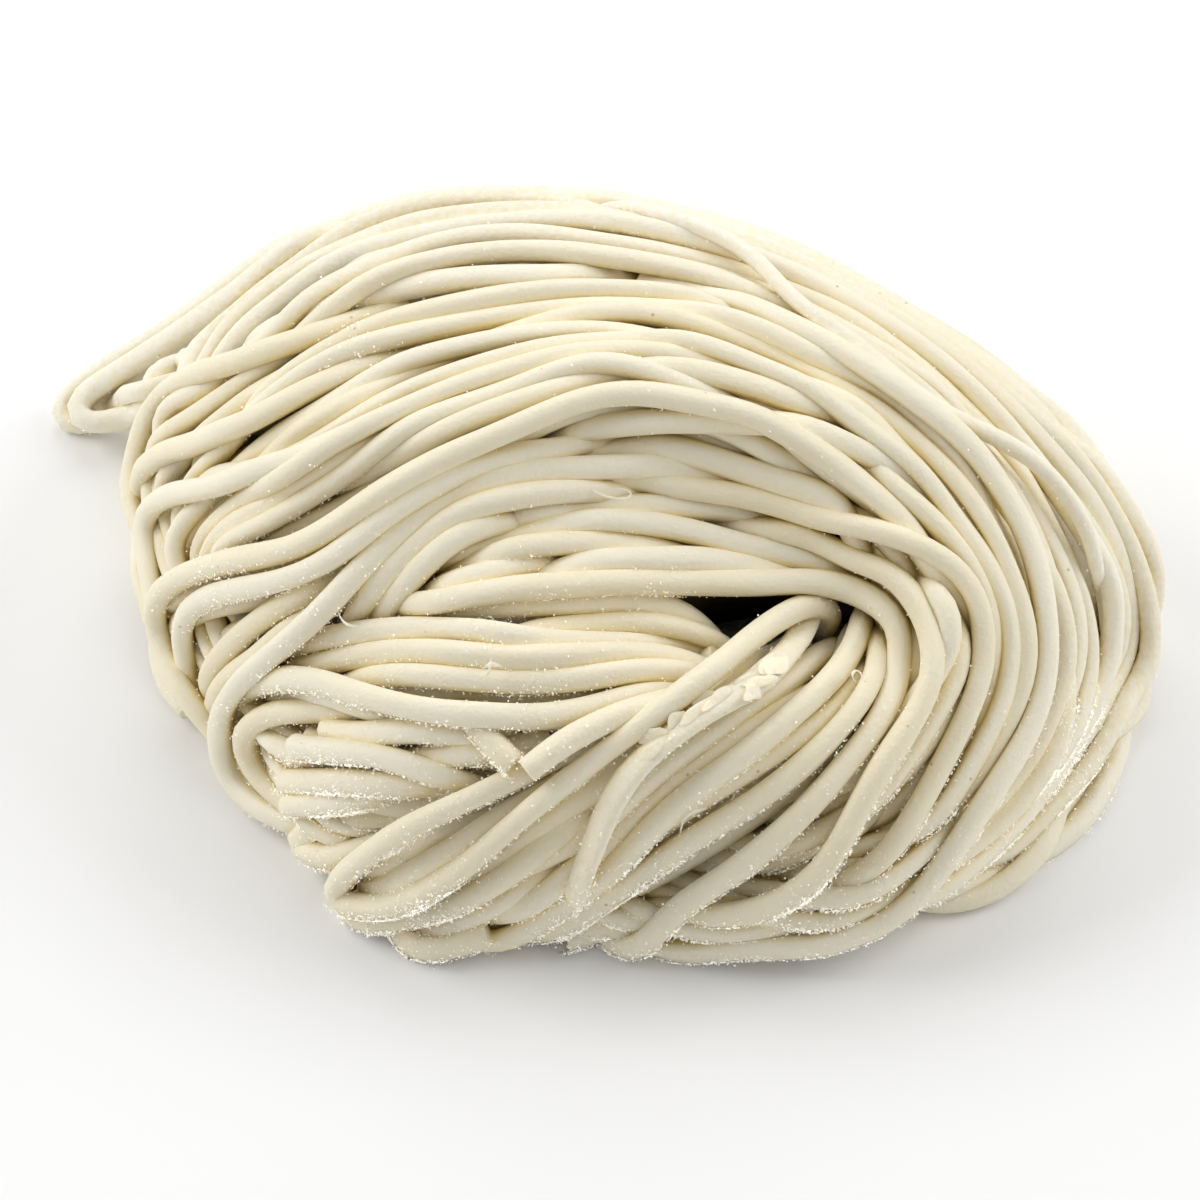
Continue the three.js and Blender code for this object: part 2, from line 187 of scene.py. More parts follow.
# The level noodles between the fold and the hole, and the folded ends under them.
INNER = [
    [(250, 690, -2), (268, 664, -0.8), (290, 648, 0), (324, 636, 0), (380, 628, 0), (440, 630, 0),
     (486, 638, 0), (534, 644, 0), (591, 640, 0), (649, 638, 0), (690, 646, -0.2), (720, 662, -0.8),
     (750, 690, -2)],
    [(470, 655, -1), (500, 645, -0.3), (534, 634, 0), (572, 627, 0), (610, 621, 0), (649, 619, 0),
     (685, 628, 0), (706, 644, -0.3), (726, 664, -1), (750, 700, -2.2)],
    [(380, 618, -1.2), (420, 610, -0.5), (480, 604, 0), (560, 603, 0), (610, 601, 0), (650, 603, 0),
     (680, 612, 0), (702, 630, -0.2), (720, 655, -1), (745, 695, -2.2)],
    [(262, 700, -1.5), (290, 680, -0.4), (311, 668, 0), (341, 656, 0), (400, 651, 0), (450, 652, 0),
     (496, 658, 0), (572, 661, 0), (640, 655, 0), (690, 662, -0.4), (725, 685, -1.5)],
    [(330, 690, -1), (370, 676, -0.2), (420, 674, 0), (486, 682, 0), (534, 679, 0), (610, 670, 0),
     (660, 668, -0.2), (700, 680, -1.2)],
    [(240, 712, -1.5), (256, 690, -0.3), (274, 678, 0.4), (303, 674, 0.6), (332, 684, 0.6), (372, 699, 0.6),
     (420, 710, 0.5), (468, 718, 0.4), (520, 721, 0.3), (560, 717, 0.2), (600, 706, 0.1), (649, 694, 0),
     (690, 690, -0.8), (720, 700, -2)],
    [(330, 738, -0.6), (360, 736, -0.1), (400, 729, 0), (440, 727, 0), (480, 730, -0.2), (520, 738, -1),
     (570, 750, -2)],
    [(400, 765, -0.8), (430, 757, -0.2), (465, 748, 0), (500, 742, -0.3), (540, 736, -1.2)],
    [(299, 750, 0.4), (322, 749, 0.4), (345, 750, 0.4), (380, 753, 0.4), (416, 762, 0.3), (456, 778, 0),
     (485, 788, -0.6), (520, 800, -1.6)],
    [(289, 783, 0.4), (312, 782, 0.4), (340, 782, 0.4), (380, 785, 0.3), (420, 787, 0.1), (455, 782, -0.6),
     (490, 774, -1.6)],
    [(303, 803, 0.1), (325, 802, 0.1), (355, 799, 0), (395, 794, -0.5), (430, 788, -1.4)],
    [(380, 700, -1.5), (324, 702, -0.4), (284, 706, 0), (256, 720, 0.2), (248, 744, 0.2), (256, 768, 0.2),
     (276, 792, 0), (305, 812, -0.3), (350, 826, -1.2), (410, 830, -2)],
    [(440, 800, -2), (380, 812, -1), (330, 818, -0.4), (304, 822, 0), (296, 836, 0.1), (306, 852, 0.2),
     (334, 862, 0.2), (362, 856, 0), (400, 835, -1), (440, 815, -2)],
]

# The noodles that come out of the hole and run down the front, with the loops at the lower left.
FRONT = [
    [(816, 640, -4), (820, 624, -2.6), (823, 610, -1.2), (821, 599, 0), (811, 598, 0.7), (790, 609, 0.9),
     (757, 633, 1), (718, 667, 1), (690, 686, 1), (649, 716, 1), (615, 744, 1), (580, 771, 1),
     (540, 800, 1), (500, 832, 1), (460, 868, 1), (420, 892, 1), (380, 908, 1), (352, 911, 1),
     (335, 900, 1), (338, 881, 1), (352, 866, 1), (374, 850, 1), (402, 830, 1), (434, 814, 1),
     (470, 799, 1), (505, 782, 0.7), (540, 764, 0.2), (590, 742, -0.8), (640, 722, -2)],
    [(650, 735, -1.5), (600, 762, -0.4), (560, 784, 0.3), (524, 806, 0.5), (480, 838, 0.5), (436, 864, 0.5),
     (398, 884, 0.5), (368, 892, 0.3), (358, 884, -0.4), (374, 868, -1.2), (400, 850, -2)],
    [(640, 785, -0.8), (600, 810, -0.2), (560, 838, 0.1), (520, 866, 0.3), (480, 890, 0.4), (440, 909, 0.4),
     (400, 923, 0.4), (366, 930, 0.3), (348, 922, 0), (346, 906, -0.8), (370, 890, -1.6)],
    [(600, 848, -1), (560, 870, -0.3), (520, 894, 0), (480, 916, 0.1), (440, 933, 0.2), (404, 944, 0.2),
     (374, 950, 0.2), (358, 942, 0), (360, 928, -0.7), (390, 912, -1.6)],
    [(800, 640, -2), (768, 664, -0.8), (735, 690, 0), (703, 712, 0), (662, 740, 0), (628, 766, 0),
     (593, 792, 0), (553, 822, 0), (513, 853, 0), (470, 880, 0), (430, 896, -0.3), (390, 900, -1.5)],
    [(845, 660, -4), (840, 644, -1), (808, 664, 0), (776, 686, 0), (740, 710, 0), (700, 740, 0),
     (650, 778, 0), (606, 810, 0), (566, 840, 0), (520, 874, 0), (470, 902, 0), (430, 915, -0.5),
     (390, 920, -1.5)],
    [(830, 690, -2.5), (800, 700, -1), (765, 716, 0), (729, 742, 0), (688, 772, 0), (650, 802, 0),
     (616, 830, 0), (576, 862, 0), (536, 890, 0), (490, 912, -0.2), (440, 925, -1), (400, 920, -2)],
    [(900, 640, -5), (893, 612, -2), (876, 614, 0), (856, 648, 0.3), (832, 680, 0.4), (800, 708, 0.5),
     (752, 748, 0.5), (700, 780, 0.4), (664, 808, 0.3), (640, 836, 0.3), (604, 872, 0.2), (560, 905, 0),
     (510, 930, 0), (460, 945, -0.5), (420, 940, -1.5)],
    [(885, 640, -2), (850, 690, -0.6), (800, 735, -0.3), (740, 775, -0.3), (680, 812, -0.3),
     (620, 850, -0.3), (560, 890, -0.3), (500, 920, -0.5), (440, 935, -1.5)],
    [(905, 650, -4), (900, 622, -1.2), (892, 632, 0), (888, 656, 0.3), (868, 694, 0.4), (832, 738, 0.4),
     (784, 782, 0.3), (728, 818, 0.2), (680, 846, 0.2), (640, 874, 0.2), (590, 905, 0), (540, 930, 0),
     (480, 945, -0.5), (430, 940, -1.5)],
    [(690, 512, -2), (734, 520, -0.6), (790, 530, 0), (845, 545, 0.2), (900, 566, 0.3), (930, 592, 0.5),
     (944, 620, 0.6), (944, 652, 0.8), (938, 680, 1), (922, 706, 1), (903, 735, 1), (877, 775, 1),
     (859, 801, 1), (846, 832, 1), (833, 863, 1), (806, 889, 1), (771, 909, 0.9), (727, 918, 0.6),
     (692, 917, 0.4), (660, 912, -0.4), (630, 915, -1.4)],
    [(430, 552, -1), (445, 536, -0.2), (486, 508, 0.1), (555, 485, 0.1), (624, 475, 0.1), (679, 480, 0.1),
     (734, 493, 0.1), (790, 502, 0.1), (845, 514, 0.1), (900, 532, 0.1), (940, 563, 0.1), (969, 602, 0.1),
     (984, 640, 0.2), (980, 670, 0.2), (966, 702, 0.2), (952, 737, 0.2), (936, 775, 0.2), (914, 820, 0.3),
     (890, 854, 0.3), (864, 880, 0.2), (833, 899, 0), (800, 914, -0.5), (760, 922, -1.4)],
    [(640, 290, -1), (700, 300, -0.3), (760, 318, 0.2), (820, 343, 0.6), (877, 378, 0.9), (934, 411, 1),
     (972, 448, 1), (1018, 512, 1), (1038, 560, 1), (1046, 610, 1), (1050, 650, 1), (1042, 704, 1),
     (1024, 744, 1), (1000, 780, 1), (971, 822, 1), (947, 862, 1), (921, 894, 1), (890, 918, 0.9),
     (850, 934, 0.8), (798, 940, 0.7), (749, 942, 0.5), (705, 946, 0.4), (668, 955, 0.1), (626, 964, -0.8)],
    [(300, 825, -1), (312, 850, -0.4), (350, 868, 0), (400, 858, 0), (450, 830, -1), (500, 800, -2)],
]

# A pale noodle that crosses the far band on top of it, at the back right.
CROSSING = [
    [(530, 228, -2), (575, 216, -1), (612, 210, 0), (646, 213, 0.8), (703, 228, 1), (752, 252, 1),
     (777, 283, 1), (808, 314, 1), (845, 342, 1), (882, 367, 1), (907, 392, 1), (938, 414, 1),
     (982, 430, 1), (1031, 455, 1), (1062, 485, 1), (1086, 522, 0.9), (1102, 570, 0.4), (1108, 610, -0.6),
     (1108, 650, -2), (1104, 680, -3)],
]

# Noodles whose cut end shows.
CUT = [
    [(720, 690, -1), (680, 697, 0), (640, 708, 0.7), (600, 722, 1.2), (570, 736, 1.4), (545, 752, 1.5),
     (527, 768, 1.5)],
    [(440, 722, -1), (462, 722, 0), (484, 732, 0.5), (500, 748, 0.8), (514, 763, 0.8)],
    [(395, 948, -0.2), (403, 948, 0.3), (430, 944, 0.4), (460, 937, 0.4), (484, 930, 0.4)],
    [(700, 936, -1.6), (655, 941, -0.6), (615, 947, 0), (574, 955, 0.1)],
]
# A flat torn noodle that ends across the front ones, from its torn end back to the hole.
TORN = [
    (574, 897, 1.3), (590, 855, 1.5), (602, 820, 1.6), (612, 795, 1.6), (630, 768, 1.6), (656, 742, 1.5),
     (686, 722, 1.3), (724, 700, 1.1), (760, 686, 1), (786, 660, 0.8), (800, 638, 0.5), (810, 620, 0),
     (820, 608, -1), (826, 604, -2.2),
]

# The loose bend that reaches out of the back left, and the place it comes from. Its free places are (across,
# down, height in millimetres).
BEND_ROOT = np.array([420, 365])
BEND_START = [(425, 268, -3), (380, 250, -2), (338, 238, -0.8)]
BEND_FREE = [
    (300, 243, 23.5), (250, 276, 18.5), (200, 311, 13), (150, 343, 8.5), (100, 374, 4.5), (66, 396, 2),
    (50, 409, 1.3), (52, 423, 1.2), (72, 432, 1.2), (98, 422, 1.3), (124, 403, 3),
]
BEND_END = [(152, 392, -0.6), (190, 374, -2)]


# ---- Places on the skin ----


def smoothstep(value, low, high):
    share = np.clip((value - low) / (high - low), 0.0, 1.0)
    return share * share * (3.0 - 2.0 * share)


def length_of(vectors):
    return np.linalg.norm(vectors, axis=-1)


def unit(vectors):
    return vectors / np.linalg.norm(vectors, axis=-1, keepdims=True)


def catmull_rom(before, here, following, after, f):
    """The curve from here to the following value, a share f of the way along it."""
    square = 2 * before - 5 * here + 4 * following - after
    cube = -before + 3 * here - 3 * following + after
    return 0.5 * (2 * here + (following - before) * f + square * f**2 + cube * f**3)


def footprint_radius(angle):
    """A closed curve through the footprint's radii."""
    count = len(NEST_RADII)
    place = np.mod(angle, 2 * np.pi) / (2 * np.pi) * count
    first = np.floor(place).astype(int)
    return catmull_rom(*(NEST_RADII[(first + k) % count] for k in (-1, 0, 1, 2)), place - first)


def oval_distance(x, y, centre, reach):
    """The distance from an oval's centre, which is 1 on its edge."""
    return np.hypot((x - centre[0]) / reach[0], (y - centre[1]) / reach[1])


def top_height(x, y):
    """The height of the nest's top over a point of the plan: a dome, with a dip at the hole and a terrace."""
    dx, dy = x - NEST_CENTRE[0], y - NEST_CENTRE[1]
    share = np.clip(np.hypot(dx, dy) / footprint_radius(np.arctan2(dy, dx)), 0.0, 1.0)
    dome = NEST_HEIGHT * (1 - share**EDGE_SHARPNESS) ** (1 / WALL_FULLNESS)
    from_hole = oval_distance(x, y, HOLE_CENTRE, DIP_REACH)
    from_terrace = oval_distance(x, y, TERRACE_CENTRE, TERRACE_REACH)
    on_terrace = smoothstep(1 - from_terrace, -TERRACE_EDGE / 2, TERRACE_EDGE / 2)
    behind_front = smoothstep(y, TERRACE_CENTRE[1] - TERRACE_FRONT, TERRACE_CENTRE[1])
    sunk = DIP_DEPTH * np.exp(-from_hole**2) + TERRACE_DEPTH * on_terrace * behind_front
    return dome - sunk * np.minimum(2 * dome / NEST_HEIGHT, 1.0)


FOOT_HEIGHT = 3.0  # below which the skin faces out of the nest's side
FOOT_RISE = 0.3  # how far it looks up there
SLOPE_STEP = 0.2
BEYOND = 90.0  # a distance from the core that is surely outside
HALVINGS = 26


def skin_normal(points):
    """The direction out of the nest, at points on or near its skin."""
    x, y = points[:, 0], points[:, 1]
    slope_x = (top_height(x + SLOPE_STEP, y) - top_height(x - SLOPE_STEP, y)) / (2 * SLOPE_STEP)
    slope_y = (top_height(x, y + SLOPE_STEP) - top_height(x, y - SLOPE_STEP)) / (2 * SLOPE_STEP)
    normal = np.stack([-slope_x, -slope_y, np.ones_like(x)], -1)
    out_x, out_y = x - NEST_CENTRE[0], y - NEST_CENTRE[1]
    outside = np.hypot(out_x, out_y)
    away = np.stack([out_x / outside, out_y / outside, FOOT_RISE * np.ones_like(x)], -1)
    at_foot = (points[:, 2] < FOOT_HEIGHT)[:, None]
    return unit(np.where(at_foot, away, normal))


def slid_to_skin(points):
    """Moves points along their rays from the core until they lie on the skin."""
    rays = unit(points - CORE)
    near = np.zeros(len(points))
    far = np.full(len(points), BEYOND)
    for _ in range(HALVINGS):
        middle = (near + far) / 2
        place = CORE + rays * middle[:, None]
        inside = (place[:, 2] < top_height(place[:, 0], place[:, 1])) & (place[:, 2] > 0)
        near = np.where(inside, middle, near)
        far = np.where(inside, far, middle)
    return CORE + rays * near[:, None]


def sight_lines(places):
    """Directions from the camera through places of the photograph."""
    across = (places[:, 0] - FRAME_PX / 2) * MM_PER_PX
    up = (FRAME_PX / 2 - places[:, 1]) * MM_PER_PX
    sight = VIEW_DIRECTION * CAMERA_DISTANCE + np.outer(across, VIEW_RIGHT) + np.outer(up, VIEW_UP)
    return unit(sight)


SIGHT_RANGE = (0.8, 1.2)  # camera distances
SIGHT_STEP = 0.25
GRAZING = 0.4  # the least that a lifted place faces the camera


def seen_on_skin(places):
    """Where lines of sight through the photograph's pixels first meet the skin, or pass it most closely."""
    sight = sight_lines(places)
    travel = np.arange(SIGHT_RANGE[0] * CAMERA_DISTANCE, SIGHT_RANGE[1] * CAMERA_DISTANCE, SIGHT_STEP)
    line = CAMERA_PLACE + sight[:, None, :] * travel[None, :, None]
    top = top_height(line[..., 0], line[..., 1])
    above = np.where(top > 1.0, line[..., 2] - top, np.inf)
    hits = (above <= 0).any(axis=1)
    first = np.argmax(above <= 0, axis=1)
    closest = np.argmin(above, axis=1)
    chosen = np.where(hits, first, closest)
    return line[np.arange(len(places)), chosen]


def seen_at_height(places):
    """The points at given heights, in millimetres, that the photograph shows at given pixels."""
    sight = sight_lines(places)
    travel = (places[:, 2] - CAMERA_PLACE[2]) / sight[:, 2]
    return CAMERA_PLACE + sight * travel[:, None]


def traced(places):
    """A noodle's places in the photograph, as points in the nest."""
    table = np.array(places, float)
    skin = seen_on_skin(table)
    sight = sight_lines(table)
    lift = (table[:, 2] - 0.5) * NOODLE
    facing = np.maximum(-(sight * skin_normal(skin)).sum(axis=1), GRAZING)
    return skin - sight * (lift / facing)[:, None]


# ---- Noodles as lines of points ----


CURVE_PARTS = 12


def smooth_line(points):
    """A smooth line through the points, with each stretch between two of them cut into parts."""
    ends = np.vstack([2 * points[0] - points[1], points, 2 * points[-1] - points[-2]])
    f = np.linspace(0.0, 1.0, CURVE_PARTS, endpoint=False)[:, None, None]
    curve = catmull_rom(ends[:-3], ends[1:-2], ends[2:-1], ends[3:], f)
    return np.vstack([curve.transpose(1, 0, 2).reshape(-1, 3), points[-1]])


def travelled(line):
    """How far along a line each of its points lies."""
    steps = length_of(np.diff(line, axis=-2))
    return np.concatenate([np.zeros_like(steps[..., :1]), np.cumsum(steps, axis=-1)], axis=-1)


def evenly(points, step):
    """A smooth line through the points, with its own points a step apart."""
    dense = smooth_line(points)
    length = travelled(dense)
    count = max(4, int(round(length[-1] / step)) + 1)
    at = np.linspace(0.0, length[-1], count)
    return np.stack([np.interp(at, length, dense[:, k]) for k in range(3)], -1)


def wander(random, count, period, size):
    """A smooth random wave with the given number of points and of points to a swing."""
    knots = random.normal(0.0, size, int(count / period) + 4)
    at = np.linspace(0.0, len(knots) - 3.001, count)
    first = at.astype(int)
    f = at - first
    blend = f * f * (3 - 2 * f)
    return knots[first] * (1 - blend) + knots[first + 1] * blend


class Noodle:
    """One noodle: its points, how firmly it keeps its place while the noodles settle, and how it is drawn."""

    def __init__(self, points, grip, piece, radius=NOODLE / 2, flatness=0.92, unevenness=0.03, pointed=False,
                 flour=0.0, step=STEP):
        self.points = evenly(points, step)
        self.grip = grip
        self.piece = piece
        self.radius = radius
        self.flatness = flatness
        self.unevenness = unevenness
        self.pointed = pointed
        self.flour = flour


def layered(points, layer):
    """Points of the skin, raised or sunk to a layer."""
    skin = slid_to_skin(points)
    lift = (np.broadcast_to(layer, len(points)) - 0.5) * NOODLE
    return skin + skin_normal(skin) * lift[:, None]


def between_guides(guides, place):
    """Points between neighbouring guides. The place is 0 on the first guide, 1 on the next and so on."""
    stack = np.array(guides)
    place = np.clip(place, 0.0, len(guides) - 1.001)
    first = place.astype(int)
    f = (place - first)[:, None]
    index = np.arange(stack.shape[1])
    return stack[first, index] * (1 - f) + stack[first + 1, index] * f


END_SHARE = 0.07  # the part of a lane in which its end dives
END_DIVE = 3.2  # layers
UNDER_FOLDS = 0.9  # layers by which lanes lie deeper on the left, under the folds
FOLDED_PART = (0.12, 0.24)  # of the guides' length, over which the lanes come up again
ROLL = 0.4  # layers by which a lane rises and sinks
ROLL_PERIOD = 18  # points of its guides
WOBBLE_PERIOD = 24
STAGGER = 0.12


def guide_on_skin(places):
    return slid_to_skin(seen_on_skin(np.array(places, float)))


def lanes(
    random, guides, places, near_places, turn, layer, dips, wobble, grip, piece, span=(0, 1), stagger=STAGGER
):
    """Noodles side by side between guides.

    Each keeps one place between the guides over the far side. In the turn, a part of the guides' length, it
    moves to its place on the near side, where fewer fit next to each other, and dips to another layer. The last
    place's noodle ends a stagger, as a part of that length, before the first's. Both ends dive under their
    neighbours.
    """
    fine = [smooth_line(guide_on_skin(guide)) for guide in guides]
    length = len(fine[0])
    share = np.linspace(0.0, 1.0, length)
    nearness = smoothstep(share, *turn)
    noodles = []
    for far, near, dip in zip(places, near_places, dips):
        last = span[1] - stagger * near / (len(guides) - 1)
        ends = 1.0 - smoothstep(np.minimum(share - span[0], last - share), 0.0, END_SHARE)
        place = far + (near - far) * nearness + wander(random, length, WOBBLE_PERIOD, wobble)
        sunk = UNDER_FOLDS * (1.0 - smoothstep(share, *FOLDED_PART)) - dip * nearness + END_DIVE * ends
        height = layer - sunk + wander(random, length, ROLL_PERIOD, ROLL)
        points = layered(between_guides(fine, place), height)
        noodles.append(Noodle(points[int(span[0] * length) : int(last * length)], grip, piece))
    return noodles


def hidden_lanes(random, guides, places, turn, layer, wobble, span):
    """Lanes of a deeper layer, which keep their places all the way."""
    return lanes(random, guides, places, places, turn, layer, 0 * places, wobble, HIDDEN_GRIP, "under", span)


FAR_LANES = 15
FAR_RADIUS = NOODLE * 0.435  # the far noodles stand on their narrower side
FAR_TURN = (0.5, 0.7)
TERRACE_TURN = (0.30, 0.45)


def far_band(random):
    """The wide band over the far side, in three layers."""
    outer = np.interp(np.linspace(0.0, 10.0, FAR_LANES), [0, 3, 6, 10], [0, 1, 2, 3])
    near = np.linspace(0.0, 3.0, FAR_LANES)
    dips = np.where(np.arange(FAR_LANES) % 3 == 1, -1.0, 0.0)
    top = lanes(random, FAR_BAND, outer, near, FAR_TURN, 0.0, dips, 0.14, FAR_GRIP, "outer", stagger=0.20)
    middles = (outer[1:] + outer[:-1]) / 2
    under = hidden_lanes(random, FAR_BAND, middles, FAR_TURN, -1.0, 0.12, (0.20, 0.85))
    deep = hidden_lanes(random, FAR_BAND, outer, FAR_TURN, -2.0, 0.15, (0.26, 0.80))
    for noodle in top + under:
        noodle.radius = FAR_RADIUS
    return top + under + deep


def terrace(random):
    """The lower noodles between the far band and the hole.

    Two layers lie under the traced ones. Some are in the outer layer, where the terrace turns to the front.
    """
    outer = np.array([0.3, 0.55, 0.78, 1.0])
    near = np.array([0.2, 0.45, 0.75, 1.0])
    dips = np.array([-1.0, 0, -1.0, 0])
    span = (0.48, 0.95)
    top = lanes(random, TERRACE, outer, near, TERRACE_TURN, -0.3, dips, 0.04, TERRACE_GRIP, "inner", span)
    middles = np.array([0.0, 0.18, 0.32, 0.46, 0.6, 0.72, 0.84])
    under = hidden_lanes(random, TERRACE, middles, TERRACE_TURN, -1.4, 0.06, (0.08, 0.95))
    deep = hidden_lanes(random, TERRACE, middles[:-1], TERRACE_TURN, -2.4, 0.06, (0.14, 0.88))
    return top + under + deep


WALL_ROWS = 20
ROW_SPACING = 0.9  # noodles
ROW_SWAY = 0.6
ROW_SWAY_PERIOD = 14  # points
ROW_ENDS = 6  # points in which a row's end turns in
SHORTEST_ROW = 12  # points
TUCK = 7.0  # how far a row reaches in under the nest where it comes down to the surface
WALL_STEPS = 80  # in which the way down the wall is measured
# The places of the far band's outer guide from the left wall over the back to the right front.
HIDDEN_PLACES = slice(4, 19)


def height_down_wall(angle, top, distance):
    """The height at a distance down the wall, in each direction. Past the foot it goes on below 0."""
    height = top[:, None] * np.linspace(1.0, 0.0, WALL_STEPS)
    way = travelled(on_wall(angle[:, None], height, 0.0))
    on_way = [np.interp(d, w, h) for d, w, h in zip(distance, way, height)]
    return np.array(on_way) - np.maximum(distance - way[:, -1], 0.0)


def back_wall(random):
    """Rows over the back that the photograph doesn't show, side by side outside the far band's outer edge.

    Where a row comes down to the surface it turns in under the nest.
    """
    crest = evenly(guide_on_skin(FAR_BAND[0][HIDDEN_PLACES]), STEP)
    angle = np.arctan2(crest[:, 1] - NEST_CENTRE[1], crest[:, 0] - NEST_CENTRE[0])
    noodles = []
    for row in range(1, WALL_ROWS + 1):
        for layer, piece in ((0.0, "back"), (-1.0, "under")):
            sway = wander(random, len(crest), ROW_SWAY_PERIOD, ROW_SWAY)
            distance = (row + 0.5 * layer) * NOODLE * ROW_SPACING + sway
            height = height_down_wall(angle, crest[:, 2], np.maximum(distance, 0.0))
            up = np.flatnonzero(height > NOODLE / 2 - TUCK)
            if len(up) < SHORTEST_ROW:
                continue
            kept = slice(up[0], up[-1] + 1)
            below = np.maximum(NOODLE / 2 - height[kept], 0.0)
            number = np.arange(len(below))
            ending = 1.0 - smoothstep(np.minimum(number, number[::-1]), 0, ROW_ENDS)
            inward = np.maximum(below, TUCK * ending)
            points = on_wall(angle[kept], np.maximum(height[kept], NOODLE / 2), inward)
            depth = np.where(below > 0, 0.0, layer)
            points += skin_normal(points) * ((depth - 0.5) * NOODLE)[:, None]
            points[:, 2] = np.maximum(points[:, 2], NOODLE / 2)
            noodles.append(Noodle(points, HIDDEN_GRIP, piece))
    return noodles


def on_wall(angle, height, inward):
    """Points of the outer wall in directions from the nest's middle, at given heights, moved inwards."""
    share = (1 - (height / NEST_HEIGHT) ** WALL_FULLNESS) ** (1 / EDGE_SHARPNESS)
    reach = footprint_radius(angle) * share - inward
    x, y = NEST_CENTRE[0] + reach * np.cos(angle), NEST_CENTRE[1] + reach * np.sin(angle)
    return np.stack([x, y, height], -1)


UNDERSIDE_LOOPS = 9
LOOP_POINTS = 70
LOOP_TURN = 60.0  # degrees from one loop's ends to the next one's
UNDERSIDE_EDGE = 0.82  # of the footprint's radius
UNDERSIDE_HOLE = 9.0


def underside(random):
    """Loops that the nest lies on, round the hole."""
    noodles = []
    for row in range(UNDERSIDE_LOOPS):
        angle = np.radians(np.linspace(0.0, 350.0, LOOP_POINTS) + LOOP_TURN * row)
        direction = np.stack([np.cos(angle), np.sin(angle)], -1)
        edge = NEST_CENTRE + direction * footprint_radius(angle)[:, None] * UNDERSIDE_EDGE
        inner = HOLE_CENTRE + direction * UNDERSIDE_HOLE
        share = (row + 1.0) / UNDERSIDE_LOOPS + wander(random, LOOP_POINTS, 14, 0.01)
        plan = inner + (edge - inner) * share[:, None]
        points = np.column_stack([plan, np.full(LOOP_POINTS, NOODLE / 2)])
        noodles.append(Noodle(points, HIDDEN_GRIP, "under"))
    return noodles


# The bend's noodles: how much shorter each is, and how many noodles higher it lies.
BEND_NOODLES = ((0.0, 0.0), (0.09, 0.3), (0.05, 0.95))
SHORTENING = np.array([1.0, 0.6])  # across and down


def loose_bend():
    """The bend that reaches out of the back left: a noodle on the surface, one inside it and one on top."""
    noodles = []
    for shorter, raised in BEND_NOODLES:
        free = np.array(BEND_FREE, float)
        free[:, :2] += (BEND_ROOT - free[:, :2]) * shorter * SHORTENING
        free[:, 2] += raised * NOODLE
        points = np.vstack([traced(BEND_START), seen_at_height(free), traced(BEND_END)])
        noodles.append(Noodle(points, BEND_GRIP, "back"))
    return noodles


def traced_family(family, grip, piece, **drawn):
    return [Noodle(traced(places), grip, piece, **drawn) for places in family]


UNDER_DOWN = 12  # pixels
UNDER_ASIDE = 4
UNDER_LAYERS = 1.1


def moved_under(random, place):
    x, y, layer = place
    return x + random.normal(0, UNDER_ASIDE), y + UNDER_DOWN, layer - UNDER_LAYERS


def under_family(random, family):
    """A second layer under a traced family, moved down the photograph and a little shorter."""
    noodles = []
    for places in family:
        points = traced([moved_under(random, place) for place in places[1:-1]])
        noodles.append(Noodle(points[points[:, 2] > NOODLE / 2], HIDDEN_GRIP, "under"))
    return noodles


THIN = NOODLE * 0.36  # radius of the crossing noodle
BROAD = NOODLE * 0.64  # of the torn one


def all_noodles():
    """Every noodle before it settles, and the torn one by itself."""
    random = np.random.default_rng(7)
    noodles = traced_family(LEFT_SHOULDER, FOLD_GRIP, "folds")
    noodles += traced_family(LEFT_FOLD, FOLD_GRIP, "folds")
    noodles += traced_family(ON_TERRACE, TOP_GRIP, "inner")
    noodles += traced_family(INNER, FRONT_GRIP, "inner")
    noodles += traced_family(FRONT, FRONT_GRIP, "folds")
    noodles += traced_family(CROSSING, TOP_GRIP, "folds", radius=THIN, flour=0.3)
    noodles += traced_family(CUT, FOLD_GRIP, "folds")
    torn = Noodle(traced(TORN), TOP_GRIP, "folds", radius=BROAD, flatness=0.5, unevenness=0.1, flour=0.25)
    noodles.append(torn)
    noodles += far_band(random)
    noodles += terrace(random)
    noodles += back_wall(random)
    noodles += underside(random)
    noodles += loose_bend()
    noodles += under_family(random, INNER)
    noodles += under_family(random, FRONT[4:10])
    noodles += under_family(random, LEFT_FOLD[:6])
    return noodles, torn


# ---- Settling ----

SETTLE_ROUNDS = 90
SQUASH = 0.93  # soft noodles touch at a little less than their thickness
STIFFNESS = 0.25  # how far a point moves to the middle of its neighbours
PAIRS_EVERY = 5  # rounds
PAIR_REACH = NOODLE + 0.8
NEIGHBOURS = 3  # points along a noodle that may lie close together
EASING_STARTS = 0.7  # of the rounds
EASED = 0.3
STRETCH = 0.25
PUSHES = 2  # in a round
PUSH = 0.3
OVERLAP = 0.5
TINY = 1e-6


